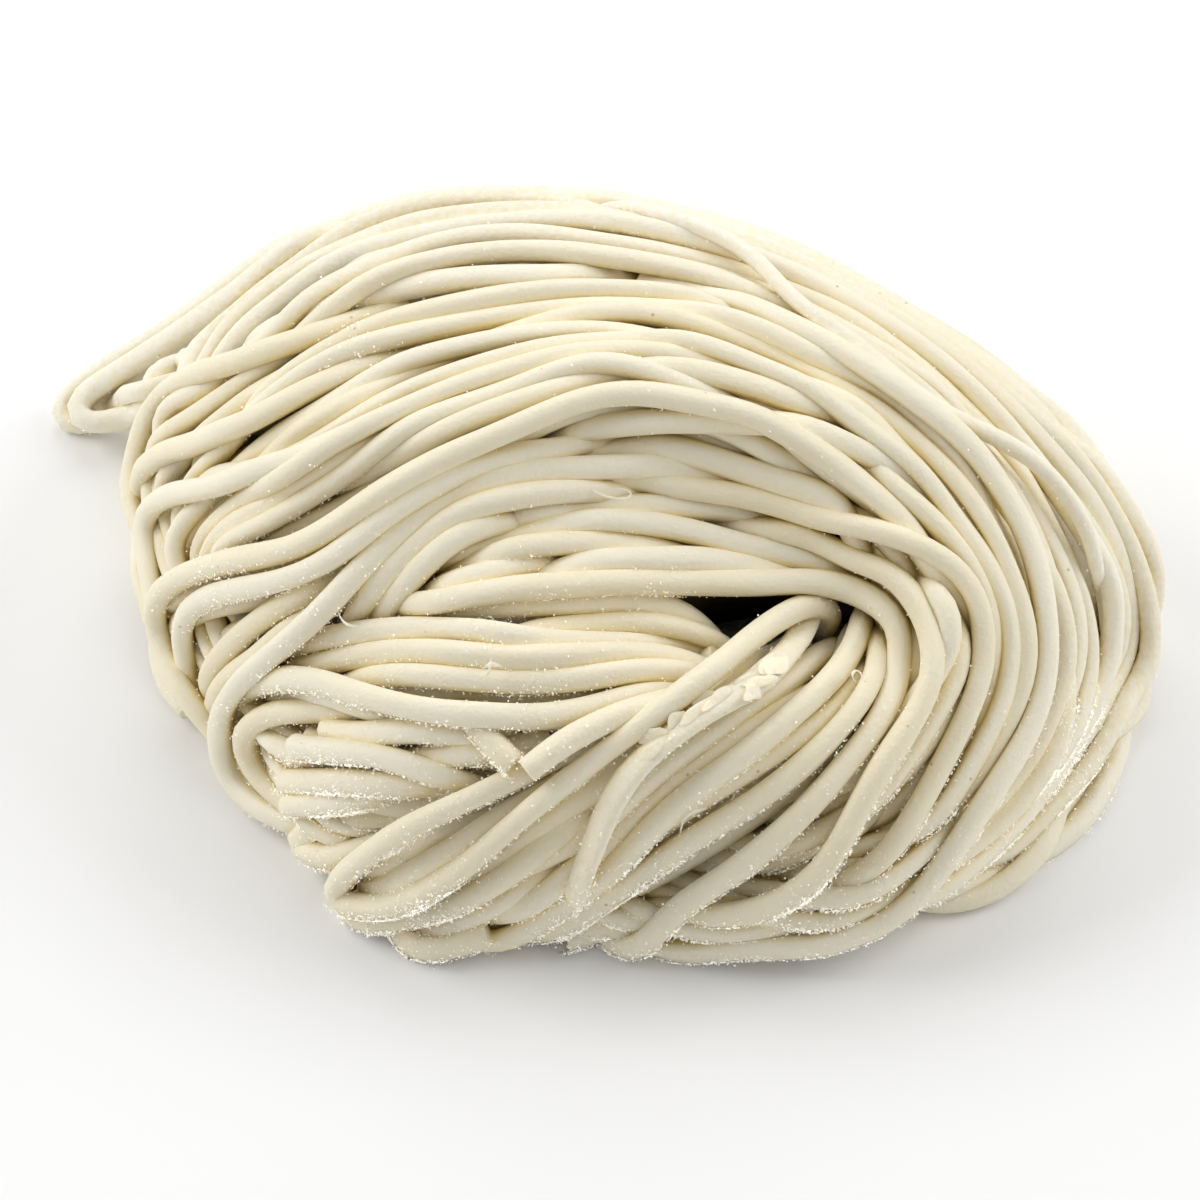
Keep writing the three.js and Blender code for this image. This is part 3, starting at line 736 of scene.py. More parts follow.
def close_pairs(points, others, reach):
    """Index pairs of a point and an other point, less than about a reach apart, found on a grid of cells."""
    low = np.minimum(points.min(axis=0), others.min(axis=0)) - reach
    size = ((np.maximum(points.max(axis=0), others.max(axis=0)) - low) / reach).astype(np.int64) + 3
    cell = ((points - low) / reach).astype(np.int64)
    other_cell = ((others - low) / reach).astype(np.int64)
    key = (cell[:, 0] * size[1] + cell[:, 1]) * size[2] + cell[:, 2]
    other_key = (other_cell[:, 0] * size[1] + other_cell[:, 1]) * size[2] + other_cell[:, 2]
    order = np.argsort(other_key, kind="stable")
    sorted_key = other_key[order]
    firsts, seconds = [], []
    for shift in np.ndindex(3, 3, 3):
        wanted = key + ((shift[0] - 1) * size[1] + shift[1] - 1) * size[2] + shift[2] - 1
        start = np.searchsorted(sorted_key, wanted, "left")
        count = np.searchsorted(sorted_key, wanted, "right") - start
        first = np.repeat(np.arange(len(points)), count)
        within = np.arange(len(first)) - np.repeat(np.cumsum(count) - count, count)
        second = order[np.repeat(start, count) + within]
        near = length_of(others[second] - points[first]) < reach
        firsts.append(first[near])
        seconds.append(second[near])
    return np.concatenate(firsts), np.concatenate(seconds)


def settle(noodles):
    """Pushes overlapping noodles apart, while each stays smooth, keeps its length and is drawn home."""
    count = np.array([len(n.points) for n in noodles])
    owner = np.repeat(np.arange(len(noodles)), count)
    number = np.concatenate([np.arange(c) for c in count])
    place = np.concatenate([n.points for n in noodles])
    radius = np.repeat([n.radius for n in noodles], count)
    grip = np.repeat([n.grip for n in noodles], count)[:, None]
    home = place.copy()
    link = np.flatnonzero(owner[:-1] == owner[1:])
    rest = length_of(place[link + 1] - place[link])
    inner = link[1:][np.diff(link) == 1]
    for round_number in range(SETTLE_ROUNDS):
        if round_number % PAIRS_EVERY == 0:
            first, second = close_pairs(place, place, PAIR_REACH)
            apart = (owner[first] != owner[second]) | (np.abs(number[first] - number[second]) > NEIGHBOURS)
            apart &= first < second
            first, second = first[apart], second[apart]
            need = (radius[first] + radius[second]) * SQUASH
        easing = 1.0 if round_number < SETTLE_ROUNDS * EASING_STARTS else EASED
        place += grip * easing * (home - place)
        place[inner] += STIFFNESS * easing * ((place[inner - 1] + place[inner + 1]) / 2 - place[inner])
        along = place[link + 1] - place[link]
        length = length_of(along)
        stretch = along * ((length - rest) / np.maximum(length, TINY) * STRETCH)[:, None]
        place[link] += stretch
        place[link + 1] -= stretch
        for _ in range(PUSHES):
            gap = place[second] - place[first]
            distance = length_of(gap)
            touching = distance < need
            share = (need - distance)[touching] / np.maximum(distance[touching], TINY) * PUSH
            push = gap[touching] * share[:, None]
            a, b = first[touching], second[touching]
            for axis in range(3):
                pushed = np.bincount(b, push[:, axis], len(place)) - np.bincount(a, push[:, axis], len(place))
                place[:, axis] += pushed
        place[:, 2] = np.maximum(place[:, 2], radius)
    start = 0
    for noodle, c in zip(noodles, count):
        noodle.points = place[start : start + c]
        start += c
    gap = length_of(place[second] - place[first])
    overlaps = int((gap < need - OVERLAP).sum())
    print("settled", len(place), "points; overlaps over", OVERLAP, "mm:", overlaps, "of", len(gap))


# ---- Meshes ----

TUBE_STEP = 1.2
TUBE_SIDES = 12
SECTION_SQUARENESS = 2.6
END_BEVEL = 0.15  # of the radius
END_SIZE = 0.9  # of the section
LINE_SMOOTHINGS = 2
TWIST = 0.5  # radians either way
TWIST_PERIOD = 18  # rings
THICKNESS_PERIOD = 5  # rings
THICKNESS_SPREAD = 0.03  # from noodle to noodle
POINT_START = 0.1  # radians into the half wave that a pointed noodle's thickness follows
POINT_BLUNTNESS = 0.7


def mesh_object(name, vertices, faces, material, flat_faces=None):
    """An object in the row frame. faces is an array of quads or triangles, as vertex indices."""
    mesh = bpy.data.meshes.new(name)
    corners = faces.shape[1]
    mesh.vertices.add(len(vertices))
    mesh.vertices.foreach_set("co", ((vertices - ROW_ORIGIN) * MM).ravel())
    mesh.loops.add(faces.size)
    mesh.loops.foreach_set("vertex_index", faces.ravel().astype(np.int32))
    mesh.polygons.add(len(faces))
    mesh.polygons.foreach_set("loop_start", np.arange(0, faces.size, corners, dtype=np.int32))
    mesh.polygons.foreach_set("loop_total", np.full(len(faces), corners, dtype=np.int32))
    mesh.update(calc_edges=True)
    smooth = np.full(len(faces), True) if flat_faces is None else ~flat_faces
    mesh.polygons.foreach_set("use_smooth", smooth)
    mesh.materials.append(material)
    made = bpy.data.objects.new(name, mesh)
    bpy.context.scene.collection.objects.link(made)
    return made


def smoothed(points, rounds):
    line = points.copy()
    for _ in range(rounds):
        line[1:-1] += 0.5 * ((line[:-2] + line[2:]) / 2 - line[1:-1])
    return line


def carried_frames(line):
    """The directions along, across and out of a line, carried from point to point without twisting."""
    along = unit(np.gradient(line, axis=0))
    out = skin_normal(line[:1])[0]
    across = np.zeros_like(line)
    across[0] = np.cross(along[0], out + 0.01)
    across[0] /= np.linalg.norm(across[0])
    for i in range(1, len(line)):
        carried = across[i - 1] - along[i] * np.dot(across[i - 1], along[i])
        across[i] = carried / np.linalg.norm(carried)
    return along, across, np.cross(across, along)


def tube(noodle, random, step=TUBE_STEP):
    """A noodle's vertices, normals and faces, and which are caps: a rounded square that turns slowly."""
    line = evenly(smoothed(noodle.points, LINE_SMOOTHINGS), step)
    count = len(line)
    along, across, upward = carried_frames(line)
    turn = np.linspace(0.0, 2 * np.pi, TUBE_SIDES, endpoint=False)
    twist = wander(random, count, TWIST_PERIOD, TWIST * noodle.flatness**3)
    uneven = wander(random, count, THICKNESS_PERIOD, noodle.unevenness)
    thick = noodle.radius * (1 + uneven + random.normal(0, THICKNESS_SPREAD))
    if noodle.pointed:
        thick *= np.sin(np.linspace(POINT_START, np.pi - POINT_START, count)) ** POINT_BLUNTNESS
    cosine, sine = np.cos(turn), np.sin(turn)
    power = SECTION_SQUARENESS
    outline = (np.abs(cosine) ** power + np.abs(sine) ** power) ** (-1 / power)
    wide, flat = outline * cosine, outline * sine * noodle.flatness
    side = np.cos(twist)[:, None] * wide - np.sin(twist)[:, None] * flat
    rise = np.sin(twist)[:, None] * wide + np.cos(twist)[:, None] * flat
    offset = side[:, :, None] * across[:, None, :] + rise[:, :, None] * upward[:, None, :]
    rings = line[:, None, :] + thick[:, None, None] * offset
    bevel = END_BEVEL * noodle.radius
    first_end = line[0] + (rings[0] - line[0]) * END_SIZE - along[0] * bevel
    last_end = line[-1] + (rings[-1] - line[-1]) * END_SIZE + along[-1] * bevel
    vertices = np.concatenate([first_end, rings.reshape(-1, 3), last_end])
    vertices[:, 2] = np.maximum(vertices[:, 2], 0.0)
    normals = np.concatenate([offset[:1], offset, offset[-1:]]).reshape(-1, 3)

    ring = np.arange(count + 1)[:, None] * TUBE_SIDES
    k = np.arange(TUBE_SIDES)[None, :]
    following = (k + 1) % TUBE_SIDES
    quads = np.stack([ring + k, ring + following, ring + TUBE_SIDES + following, ring + TUBE_SIDES + k], -1)
    pairs = np.arange(TUBE_SIDES // 2 - 1)
    first_cap = np.stack([pairs + 1, pairs, TUBE_SIDES - 1 - pairs, TUBE_SIDES - 2 - pairs], -1)
    last_cap = (count + 1) * TUBE_SIDES + first_cap[:, ::-1]
    faces = np.concatenate([quads.reshape(-1, 4), first_cap, last_cap])
    capped = np.arange(len(faces)) >= quads.size // 4
    return vertices, unit(normals), faces, capped


CROWD_REACH = 2.4  # beyond a noodle's own radius
CROWD_FULL = 2.2  # the sum of neighbours that makes a crevice


def crowding(vertices, normals, own, places, owners):
    """How closely other noodles face each vertex, from 0 for none to 1 in a crevice."""
    reach = NOODLE / 2 + CROWD_REACH
    first, second = close_pairs(vertices, places, reach)
    other = own[first] != owners[second]
    first, second = first[other], second[other]
    gap = places[second] - vertices[first]
    distance = np.maximum(length_of(gap), TINY)
    facing = np.maximum((gap * normals[first]).sum(axis=1) / distance, 0.0)
    nearness = np.clip((reach - distance) / CROWD_REACH, 0.0, 1.0)
    return np.clip(np.bincount(first, facing * nearness, len(vertices)) / CROWD_FULL, 0.0, 1.0)


class Surface:
    """The vertices of all the noodles of one piece, with their normals and how crowded they are."""

    def __init__(self, name, vertices, normals, crowd):
        self.name = name
        self.vertices = vertices
        self.normals = normals
        self.crowd = crowd


def add_attribute(mesh, name, values):
    attribute = mesh.attributes.new(name, "FLOAT", "POINT")
    attribute.data.foreach_set("value", values.astype(np.float32))


def noodle_pieces(noodles, material):
    """One mesh for each piece's noodles, and the surfaces that flour falls on."""
    random = np.random.default_rng(11)
    places = np.concatenate([n.points for n in noodles])
    owners = np.repeat(np.arange(len(noodles)), [len(n.points) for n in noodles])
    pieces, surfaces = [], []
    for name in sorted({n.piece for n in noodles}):
        parts, start = [], 0
        for index, noodle in enumerate(noodles):
            if noodle.piece != name:
                continue
            vertices, normals, faces, capped = tube(noodle, random)
            count = len(vertices)
            spread = [np.full(count, value) for value in (random.uniform(0, 1), index, noodle.flour)]
            parts.append((vertices, normals, faces + start, capped, *spread))
            start += count
        vertices, normals, faces, capped, tint, own, flour = (np.concatenate(part) for part in zip(*parts))
        crowd = crowding(vertices, normals, own, places, owners)
        piece = mesh_object(f"noodles_{name}", vertices, faces, material, flat_faces=capped)
        add_attribute(piece.data, "tint", tint)
        # How crowded each vertex is, which the dough paints as crevice shade
        add_attribute(piece.data, "crowding_for_painted_shade", crowd)
        # Flour, with painted light that makes the far side and the far right paler
        add_attribute(piece.data, "dust_and_painted_light", flour_veil_and_painted_light(vertices, normals, crowd) + flour)
        pieces.append(piece)
        surfaces.append(Surface(name, vertices, normals, crowd))
    return pieces, surfaces


# Where flour lies thickest in the photograph: (across, down, reach in pixels, amount).
FLOUR_PATCHES = [
    (350, 793, 60, 0.8), (330, 808, 40, 0.6), (300, 755, 40, 0.5), (495, 760, 34, 0.8), (440, 745, 40, 0.4),
    (420, 925, 62, 1.0), (370, 938, 40, 0.7), (430, 952, 44, 0.8), (575, 895, 44, 0.6), (575, 932, 50, 0.7),
    (650, 880, 60, 0.8), (620, 940, 60, 0.7), (700, 940, 60, 0.6), (785, 878, 40, 0.7), (815, 915, 60, 0.9),
    (945, 832, 40, 0.8), (855, 862, 40, 0.5), (1072, 780, 44, 1.0), (1085, 715, 36, 0.8),
    (1015, 862, 44, 0.6), (535, 695, 40, 0.6), (490, 636, 34, 0.6), (650, 590, 40, 0.5),
    (350, 345, 40, 0.6), (215, 575, 44, 0.5), (300, 680, 44, 0.4), (290, 620, 40, 0.4), (600, 800, 40, 0.4),
    (770, 770, 40, 0.3), (235, 720, 40, 0.3), (400, 800, 180, 0.42), (700, 900, 200, 0.45),
    (330, 640, 170, 0.32), (560, 650, 150, 0.3), (900, 820, 170, 0.35),
]
FLOUR_EVERYWHERE = 0.07
FLOURY_SIDES = (-0.3, 0.7)  # how far a side faces down, from where flour starts to where it is full
CREVICE_FLOUR = 0.5
VEIL_SHARE = 0.35
# Painted light: over these ranges of y and x, in millimetres, the far side and the far right are painted paler
FAR_SIDE = (-6.0, 30.0)
FAR_PAINTED_LIGHT = 0.6
RIGHT_SIDE = (32.0, 48.0)
RIGHT_PAINTED_LIGHT = 0.4


def in_photograph(points):
    """Where the photograph shows points of the nest, in pixels across and down."""
    relative = points - CAMERA_PLACE
    scale = CAMERA_DISTANCE / MM_PER_PX / (relative @ VIEW_DIRECTION)
    return FRAME_PX / 2 + relative @ VIEW_RIGHT * scale, FRAME_PX / 2 - relative @ VIEW_UP * scale


def clumps(points):
    """Uneven patches a few millimetres wide, from -1 to 1."""
    x, y, z = points.T
    across = np.sin(x * 0.9 + 2.0 * np.sin(y * 0.5))
    away = np.sin(y * 1.1 + 1.7 * np.sin(z * 0.6))
    return across * away * np.sin(z * 1.2 + x * 0.3)


def dustiness(points, normals, crowd):
    """How much flour lies at points: most in the patches, on sides that face down or into a crevice."""
    across, down = in_photograph(points)
    amount = np.full(len(points), FLOUR_EVERYWHERE)
    for x, y, reach, thick in FLOUR_PATCHES:
        amount = np.maximum(amount, thick * np.exp(-((across - x) ** 2 + (down - y) ** 2) / reach**2))
    facing = smoothstep(-normals[:, 2] + CREVICE_FLOUR * crowd, *FLOURY_SIDES)
    return np.clip(amount * (0.2 + 0.8 * facing) * (0.8 + 0.4 * clumps(points)), 0.0, 1.0)


def flour_veil_and_painted_light(points, normals, crowd):
    """Flour as its grains say, and painted light: the dough paler all over the far side and the far right."""
    far = smoothstep(points[:, 1], *FAR_SIDE)
    right = smoothstep(points[:, 0], *RIGHT_SIDE)
    # painted light: paler towards the far side and the far right
    dusty = VEIL_SHARE * dustiness(points, normals, crowd)
    return np.clip(dusty + FAR_PAINTED_LIGHT * far + RIGHT_PAINTED_LIGHT * right, 0.0, 1.0)


CORE_TURNS = 72
CORE_AROUND = 28
CORE_DEPTH = 6.0  # under the skin
CORE_INSET = 2.0  # by which its outer edge is further in
CORE_EDGE = 4.0  # height of the nest's top where the core's reach is measured
CORE_REACHES = np.linspace(0.0, 80.0, 400)
CORE_BOTTOM = 0.8
CORE_LEAST = 1.0  # width and height
CORE_HOLE = (12.0, 7.0)
HOLE_LEAN = 0.7  # how far the hole's back wall leans away from the camera for each millimetre down
LEAN_HEIGHT = 20.0
DARK_ROUND_HOLE = (16.0, 28.0)  # from its middle, over which the painted shade round the hole fades out


def core_piece(material):
    """The inside of the ring, a few noodles below the skin, with the hole through it."""
    vertices, from_hole = [], []
    for i in range(CORE_TURNS):
        angle = 2 * math.pi * i / CORE_TURNS
        direction = np.array([math.cos(angle), math.sin(angle)])
        inner = 1 / math.hypot(direction[0] / CORE_HOLE[0], direction[1] / CORE_HOLE[1])
        line = HOLE_CENTRE + CORE_REACHES[:, None] * direction
        outer = CORE_REACHES[top_height(line[:, 0], line[:, 1]) > CORE_EDGE].max() - CORE_DEPTH - CORE_INSET
        outer = max(outer, inner + CORE_LEAST)
        lean = HOLE_LEAN * max(0.0, direction[1])
        for share in np.linspace(0.0, 1.0, CORE_AROUND):
            distance = inner + (outer - inner) * share
            point = HOLE_CENTRE + direction * distance
            height = max(CORE_LEAST, float(top_height(point[0], point[1])) - CORE_DEPTH)
            height *= math.sqrt(max(0.0, 1 - share**6))
            leaned = distance + lean * max(0.0, LEAN_HEIGHT - height) * (1 - share) ** 4
            vertices.append((*(HOLE_CENTRE + direction * leaned), height + CORE_BOTTOM))
            from_hole.append(distance)
        for foot in (outer, inner + lean * LEAN_HEIGHT):
            vertices.append((*(HOLE_CENTRE + direction * foot), CORE_BOTTOM))
        from_hole += [outer, inner]
    rows = CORE_AROUND + 2
    i = np.arange(CORE_TURNS)[:, None]
    j = np.arange(rows)[None, :]
    here, following = i * rows, ((i + 1) % CORE_TURNS) * rows
    faces = np.stack([here + j, following + j, following + (j + 1) % rows, here + (j + 1) % rows], -1)
    core = mesh_object("nest_core", np.array(vertices), faces.reshape(-1, 4), material)
    # Painted shade: the core's colour is darkest near the hole and lighter further out
    add_attribute(core.data, "lit", smoothstep(np.array(from_hole), *DARK_ROUND_HOLE))
    return core


# ---- Flour ----

GRAINS = 46000
GRAIN_SIZES = (0.06, 0.14)
GRAIN_STRETCH = (0.6, 1.3)
GRAIN_SPREAD = 0.5  # aside from the vertex that it falls on
GRAIN_LIFT = 0.09
LOWEST_GRAIN = 0.02
FLOUR_CONTRAST = 1.9
CREVICE_LIMIT = 1.05  # the crowding at which no grain falls
OUT_OF_SIGHT = 0.1  # the share of flour on sides that the photograph doesn't show
TETRAHEDRON = np.array([(1, 1, 1), (1, -1, -1), (-1, 1, -1), (-1, -1, 1)]) / math.sqrt(3.0)
TETRAHEDRON_FACES = np.array([(0, 1, 2), (0, 3, 1), (0, 2, 3), (1, 3, 2)])


def flour_grains(surfaces, material):
    """Grains of flour on the noodles, as small uneven crystals in one mesh."""
    random = np.random.default_rng(23)
    shown = [s for s in surfaces if s.name != "under"]
    vertices = np.concatenate([s.vertices for s in shown])
    normals = np.concatenate([s.normals for s in shown])
    crowd = np.concatenate([s.crowd for s in shown])
    in_view = normals @ VIEW_DIRECTION < 0.2
    weight = dustiness(vertices, normals, crowd) ** FLOUR_CONTRAST * (CREVICE_LIMIT - crowd)
    weight *= OUT_OF_SIGHT + (1 - OUT_OF_SIGHT) * in_view
    chosen = random.choice(len(vertices), GRAINS, p=weight / weight.sum())
    size = random.uniform(*GRAIN_SIZES, GRAINS)
    aside = random.normal(0, GRAIN_SPREAD, (GRAINS, 3))
    aside -= (aside * normals[chosen]).sum(axis=1, keepdims=True) * normals[chosen]
    centre = vertices[chosen] + aside + normals[chosen] * GRAIN_LIFT
    turned = np.linalg.qr(random.normal(0, 1, (GRAINS, 3, 3)))[0]
    stretched = TETRAHEDRON[None] * random.uniform(*GRAIN_STRETCH, (GRAINS, 1, 3)) * size[:, None, None]
    corners = centre[:, None, :] + stretched @ turned
    corners[..., 2] = np.maximum(corners[..., 2], LOWEST_GRAIN)
    upright = np.linalg.det(turned) > 0
    faces = np.where(upright[:, None, None], TETRAHEDRON_FACES[None], TETRAHEDRON_FACES[None, :, ::-1])
    faces = faces + len(TETRAHEDRON) * np.arange(GRAINS)[:, None, None]
    flat = np.full(GRAINS * len(TETRAHEDRON_FACES), True)
    vertices, faces = corners.reshape(-1, 3), faces.reshape(-1, 3)
    return mesh_object("flour_grains", vertices, faces, material, flat_faces=flat)


# Wisps of torn dough: (across, down, layer) and half the width in millimetres.
WISPS = [
    ([(582, 484, 0.8), (602, 495, 0.9), (626, 499, 1.0), (632, 493, 1.2), (618, 488, 1.2), (604, 490, 1.0)],
     0.13),
    ([(338, 612, 1.2), (342, 620, 1.5), (350, 626, 1.4), (360, 626, 1.0)], 0.13),
    ([(484, 668, 0.8), (492, 664, 0.95), (502, 667, 0.8)], 0.2),
    ([(491, 658, 0.9), (490, 668, 0.95), (487, 676, 0.7)], 0.16),
    ([(856, 682, 0.9), (852, 676, 1.1), (856, 670, 1.1), (862, 674, 1.0), (860, 682, 0.8)], 0.13),
    ([(680, 834, 0.6), (684, 820, 0.9), (694, 812, 0.9), (708, 808, 0.6)], 0.12),
]
WISP_STEP = 0.25
FLAKES = 13
FLAKED_PART = (0.36, 0.68)  # of the torn noodle's length
FLAKE_ASIDE = 0.8  # radii of the torn noodle
FLAKE_TURN = 0.3  # radians
FLAKE_LENGTHS = (1.2, 2.8)
FLAKE_RADII = (0.3, 0.8)
FLAKE_LIFT = 0.2
FLAKE_PLACES = (-0.5, 0.0, 0.5, 1.0)  # of a flake's points along it, in its lengths


def wisp(points, radius, flatness, unevenness):
    return Noodle(points, 0.0, "wisps", radius, flatness, unevenness, pointed=True, step=WISP_STEP)


def torn_skin(random, torn):
    """Flat flakes of dough that lie on the torn noodle and lift a little at one end."""
    line = evenly(torn.points, 0.5)
    along, across, upward = carried_frames(line)
    made = []
    for _ in range(FLAKES):
        place = int(random.uniform(*FLAKED_PART) * len(line))
        aside = random.uniform(-FLAKE_ASIDE, FLAKE_ASIDE)
        height = torn.radius * torn.flatness * (1 - abs(aside) ** 3)
        middle = line[place] + across[place] * aside * torn.radius + upward[place] * height
        turn = random.normal(0, FLAKE_TURN)
        reach = random.uniform(*FLAKE_LENGTHS)
        direction = along[place] * math.cos(turn) + across[place] * math.sin(turn)
        lift = random.uniform(0.0, FLAKE_LIFT)
        points = [middle + direction * reach * t + upward[place] * lift * t * t for t in FLAKE_PLACES]
        made.append(wisp(np.array(points), random.uniform(*FLAKE_RADII), flatness=0.12, unevenness=0.25))
    return made


def wisps(material, torn):
    """The traced wisps and the torn noodle's flakes, in one mesh."""
    random = np.random.default_rng(31)
    vertices, faces, start = [], [], 0
    made = [wisp(traced(places), radius, flatness=0.4, unevenness=0.2) for places, radius in WISPS]
    for shred in made + torn_skin(random, torn):
        v, _, f, _ = tube(shred, random, WISP_STEP)
        vertices.append(v)
        faces.append(f + start)
        start += len(v)
    piece = mesh_object("dough_wisps", np.concatenate(vertices), np.concatenate(faces), material)
    # A set tint, a little painted crevice shade and a little flour, the same all over
    for name, value in (("tint", 0.7), ("crowding_for_painted_shade", 0.1), ("dust_and_painted_light", 0.15)):
        add_attribute(piece.data, name, np.full(start, value))
    return piece


# ---- Materials ----

DOUGH_DARKER = (0.87, 0.785, 0.57, 1)
DOUGH_LIGHTER = (0.925, 0.865, 0.70, 1)
# Painted shade: a warm colour in the crevices between noodles, and a dark brown at their bottom
PAINTED_CREVICE_SHADE = (0.76, 0.60, 0.22, 1)
PAINTED_CREVICE_SHADE_SHARE = 0.9
PAINTED_CREASE_SHADE = (0.46, 0.33, 0.12, 1)
PAINTED_CREASE_SHADE_SHARE = 0.65
SPECK = (0.40, 0.22, 0.09, 1)
DUST = (0.95, 0.925, 0.86, 1)
FLOUR = (1.0, 0.985, 0.93, 1)
# Painted shade for the core: dark brown round the hole, and shaded and lit dough colours, mixed by noise,
# further out
SHADE = (0.18, 0.12, 0.06, 1)
SHADED_DOUGH = (0.50, 0.40, 0.23, 1)
LIT_DOUGH = (0.62, 0.52, 0.33, 1)
FLOOR = (0.93, 0.93, 0.93, 1)

# How fine the patterns are, in swings to the metre.
TINT_CLOUDS = 90.0
SPECKS = 240.0
SHADE_CLOUDS = 300.0
FLOUR_CLOUDS = 700.0
POWDER = 1600.0
ROUGHENING = 2600.0

# Values of each shader's own sockets.
DOUGH_VALUES = {
    "Specular IOR Level": 0.25,
    "Subsurface Weight": 0.4,
    "Subsurface Radius": (1.0, 0.85, 0.5),
    "Subsurface Scale": 0.0012,
}
FLOUR_VALUES = {
    "Roughness": 0.3,
    "Specular IOR Level": 0.8,
    "Sheen Weight": 1.0,
    "Sheen Roughness": 0.4,
    "Subsurface Weight": 1.0,
    "Subsurface Radius": (1.0, 1.0, 1.0),
    "Subsurface Scale": 0.0003,
}
BUMP_VALUES = {"Strength": 0.5, "Distance": 0.0002}


def set_values(node, values):
    for name, value in values.items():
        node.inputs[name].default_value = value


def new_material(name):
    material = bpy.data.materials.new(name)
    material.use_nodes = True
    nodes = material.node_tree.nodes
    return material, nodes, material.node_tree.links, nodes["Principled BSDF"]


def noise(nodes, links, place, scale, detail):
    texture = nodes.new("ShaderNodeTexNoise")
    set_values(texture, {"Scale": scale, "Detail": detail})
    links.new(place, texture.inputs["Vector"])
    return texture.outputs["Fac"]


def attribute(nodes, name):
    node = nodes.new("ShaderNodeAttribute")
    node.attribute_name = name
    return node.outputs["Fac"]


def remap(nodes, links, value, low, high, out_low, out_high):
    node = nodes.new("ShaderNodeMapRange")
    set_values(node, {"From Min": low, "From Max": high, "To Min": out_low, "To Max": out_high})
    links.new(value, node.inputs["Value"])
    return node.outputs["Result"]


def times(nodes, links, first, second):
    node = nodes.new("ShaderNodeMath")
    node.operation = "MULTIPLY"
    for socket, value in zip(node.inputs, (first, second)):
        if isinstance(value, float):
            socket.default_value = value
        else:
            links.new(value, socket)
    return node.outputs["Value"]


def mixed(nodes, links, share, first, second):
    """A colour between two, each of which is a colour or a node's output."""
    node = nodes.new("ShaderNodeMix")
    node.data_type = "RGBA"
    links.new(share, node.inputs["Factor"])
    for socket, value in ((node.inputs[6], first), (node.inputs[7], second)):
        if isinstance(value, tuple):
            socket.default_value = value
        else:
            links.new(value, socket)
    return node.outputs[2]


def dough_material():
    """Pale wheat dough: a tint for each noodle, painted crevice shade, brown specks, flour, painted light."""
    material, nodes, links, shader = new_material("noodle_dough")
    place = nodes.new("ShaderNodeTexCoord").outputs["Object"]
    cloudy = noise(nodes, links, place, TINT_CLOUDS, 3.0)
    tint = mixed(nodes, links, attribute(nodes, "tint"), DOUGH_DARKER, DOUGH_LIGHTER)
    patch = mixed(nodes, links, remap(nodes, links, cloudy, 0.35, 0.7, 0.0, 0.6), tint, DOUGH_LIGHTER)
    # Painted shade: warm where other noodles crowd close, and dark brown where they crowd closest
    depth = remap(nodes, links, attribute(nodes, "crowding_for_painted_shade"), 0.2, 1.0, 0.0, PAINTED_CREVICE_SHADE_SHARE)
    crevice_shaded = mixed(nodes, links, depth, patch, PAINTED_CREVICE_SHADE)
    crease_shade_share = remap(nodes, links, attribute(nodes, "crowding_for_painted_shade"), 0.6, 1.0, 0.0, PAINTED_CREASE_SHADE_SHARE)
    crease_shaded = mixed(nodes, links, crease_shade_share, crevice_shaded, PAINTED_CREASE_SHADE)

    cells = nodes.new("ShaderNodeTexVoronoi")
    cells.inputs["Scale"].default_value = SPECKS
    links.new(place, cells.inputs["Vector"])
    speck = remap(nodes, links, cells.outputs["Distance"], 0.02, 0.05, 0.55, 0.0)
    speckled = mixed(nodes, links, speck, crease_shaded, SPECK)

    powder = noise(nodes, links, place, POWDER, 6.0)
    grainy = remap(nodes, links, powder, 0.42, 0.60, 0.1, 1.0)
    # Flour, and the painted light on the far side and the far right, whiten the dough and roughen it
    flour_veil_and_painted_light = times(nodes, links, attribute(nodes, "dust_and_painted_light"), grainy)
    links.new(mixed(nodes, links, flour_veil_and_painted_light, speckled, DUST), shader.inputs["Base Color"])
    links.new(remap(nodes, links, flour_veil_and_painted_light, 0.0, 0.6, 0.5, 0.9), shader.inputs["Roughness"])
    shader.subsurface_method = "BURLEY"
    set_values(shader, DOUGH_VALUES)

    bump = nodes.new("ShaderNodeBump")
    set_values(bump, BUMP_VALUES)
    links.new(noise(nodes, links, place, ROUGHENING, 3.0), bump.inputs["Height"])
    links.new(bump.outputs["Normal"], shader.inputs["Normal"])
    return material


def shade_material():
    """Painted shade: dough deep inside the nest, where hardly any light comes, darkest by the hole."""
    material, nodes, links, shader = new_material("inner_painted_shade")
    place = nodes.new("ShaderNodeTexCoord").outputs["Object"]
    cloudy = noise(nodes, links, place, SHADE_CLOUDS, 2.0)
    lit = mixed(nodes, links, cloudy, SHADED_DOUGH, LIT_DOUGH)
    links.new(mixed(nodes, links, attribute(nodes, "lit"), SHADE, lit), shader.inputs["Base Color"])
    shader.inputs["Roughness"].default_value = 0.9
    return material


def flour_material():
    material, nodes, links, shader = new_material("flour_dust")
    place = nodes.new("ShaderNodeTexCoord").outputs["Object"]
    cloudy = noise(nodes, links, place, FLOUR_CLOUDS, 2.0)
    whiteness = remap(nodes, links, cloudy, 0.4, 0.6, 0.6, 1.0)
    links.new(mixed(nodes, links, whiteness, DUST, FLOUR), shader.inputs["Base Color"])
    shader.subsurface_method = "BURLEY"
    set_values(shader, FLOUR_VALUES)
    return material


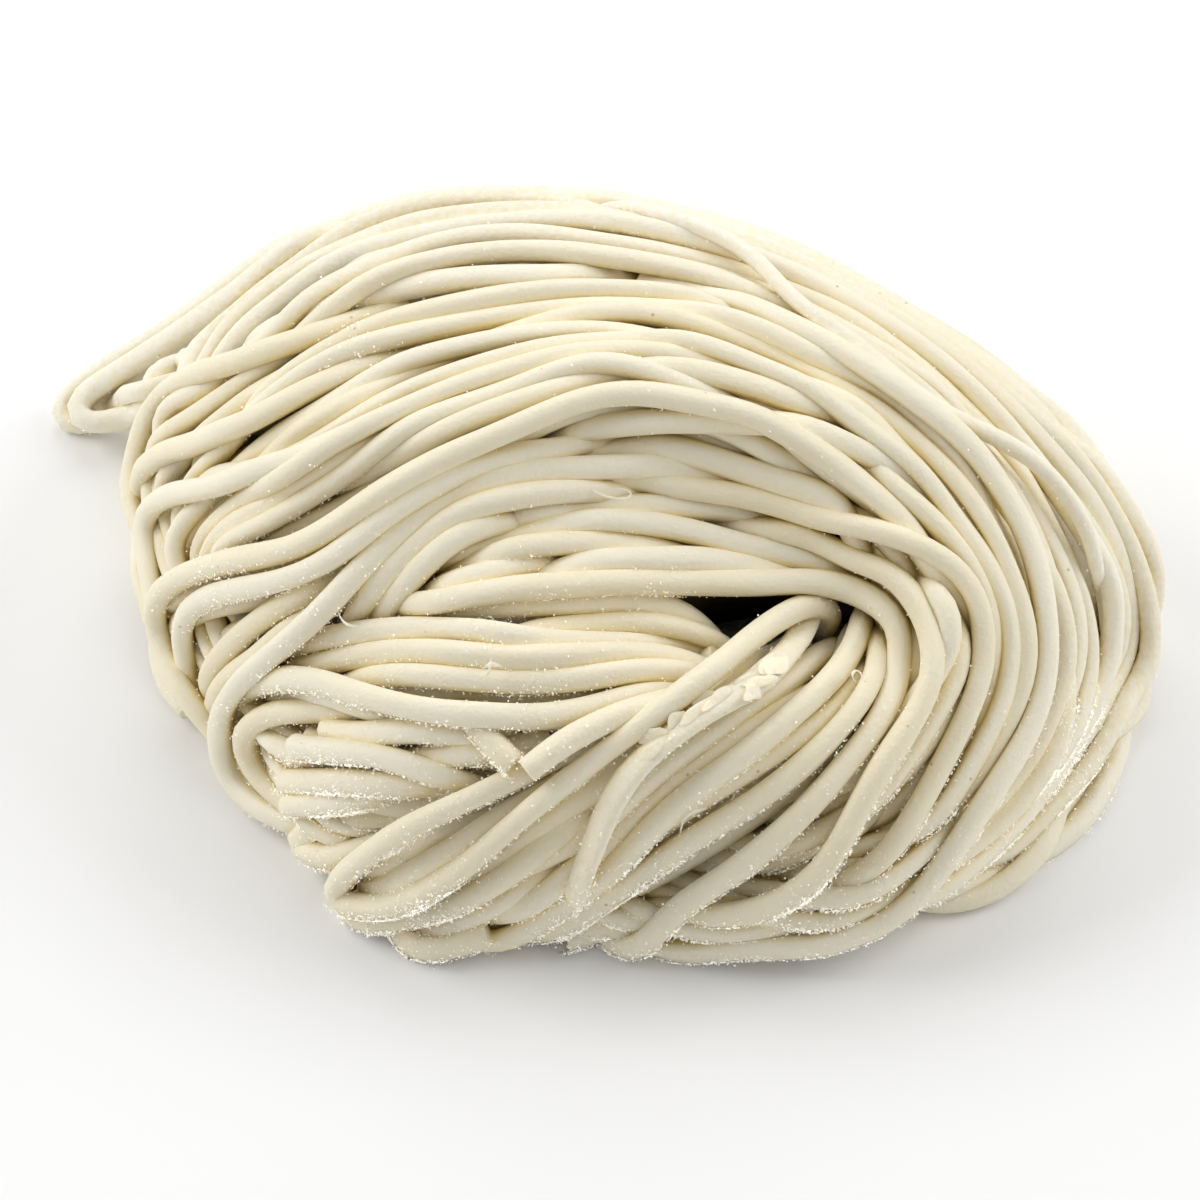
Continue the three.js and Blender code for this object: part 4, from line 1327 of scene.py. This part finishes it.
def floor_material():
    material, nodes, links, shader = new_material("floor")
    set_values(shader, {"Base Color": FLOOR, "Roughness": 0.9})
    return material


# ---- Stage ----

# Each light's place, size and power, in metres and watts.
LIGHTS = {
    "back": ((0.0, 0.50, 0.60), 0.6, 1.62),
    "left": ((-0.60, 0.12, 0.45), 0.5, 2.6),
    "right": ((0.60, 0.12, 0.45), 0.5, 2.2),
}
SKY_STRENGTH = 0.46


def aimed(made, direction):
    made.rotation_euler = Vector(direction).to_track_quat("-Z", "Y").to_euler()
    bpy.context.scene.collection.objects.link(made)


def make_floor():
    bpy.ops.mesh.primitive_plane_add(size=4.0)
    floor = bpy.context.object
    floor.name = "floor"
    floor.data.materials.append(floor_material())


def make_lights():
    for name, (place, size, power) in LIGHTS.items():
        light = bpy.data.lights.new(name, "AREA")
        light.shape = "DISK"
        light.size = size
        light.energy = power
        made = bpy.data.objects.new(name, light)
        made.location = place
        aimed(made, -np.array(place))
    world = bpy.data.worlds.new("studio")
    world.use_nodes = True
    background = world.node_tree.nodes["Background"]
    background.inputs["Color"].default_value = (1, 1, 1, 1)
    background.inputs["Strength"].default_value = SKY_STRENGTH
    bpy.context.scene.world = world
    bpy.context.scene.view_settings.view_transform = "Standard"


def make_camera():
    camera = bpy.data.cameras.new("camera")
    camera.sensor_width = SENSOR
    camera.lens = LENS
    made = bpy.data.objects.new("camera", camera)
    made.location = (CAMERA_PLACE - ROW_ORIGIN) * MM
    aimed(made, VIEW_DIRECTION)
    bpy.context.scene.camera = made


# ---- Everything ----

noodles, torn_noodle = all_noodles()
settle(noodles)
dough = dough_material()
flour = flour_material()
noodle_meshes, noodle_surfaces = noodle_pieces(noodles, dough)
dough_pieces = noodle_meshes + [wisps(dough, torn_noodle), core_piece(shade_material())]
flour_pieces = [flour_grains(noodle_surfaces, flour)]
for pieces, slot in ((dough_pieces, "noodle_dough"), (flour_pieces, "flour_dust")):
    for piece in pieces:
        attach(piece, "root")
        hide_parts("noodle_nest")
make_floor()
make_lights()
make_camera()
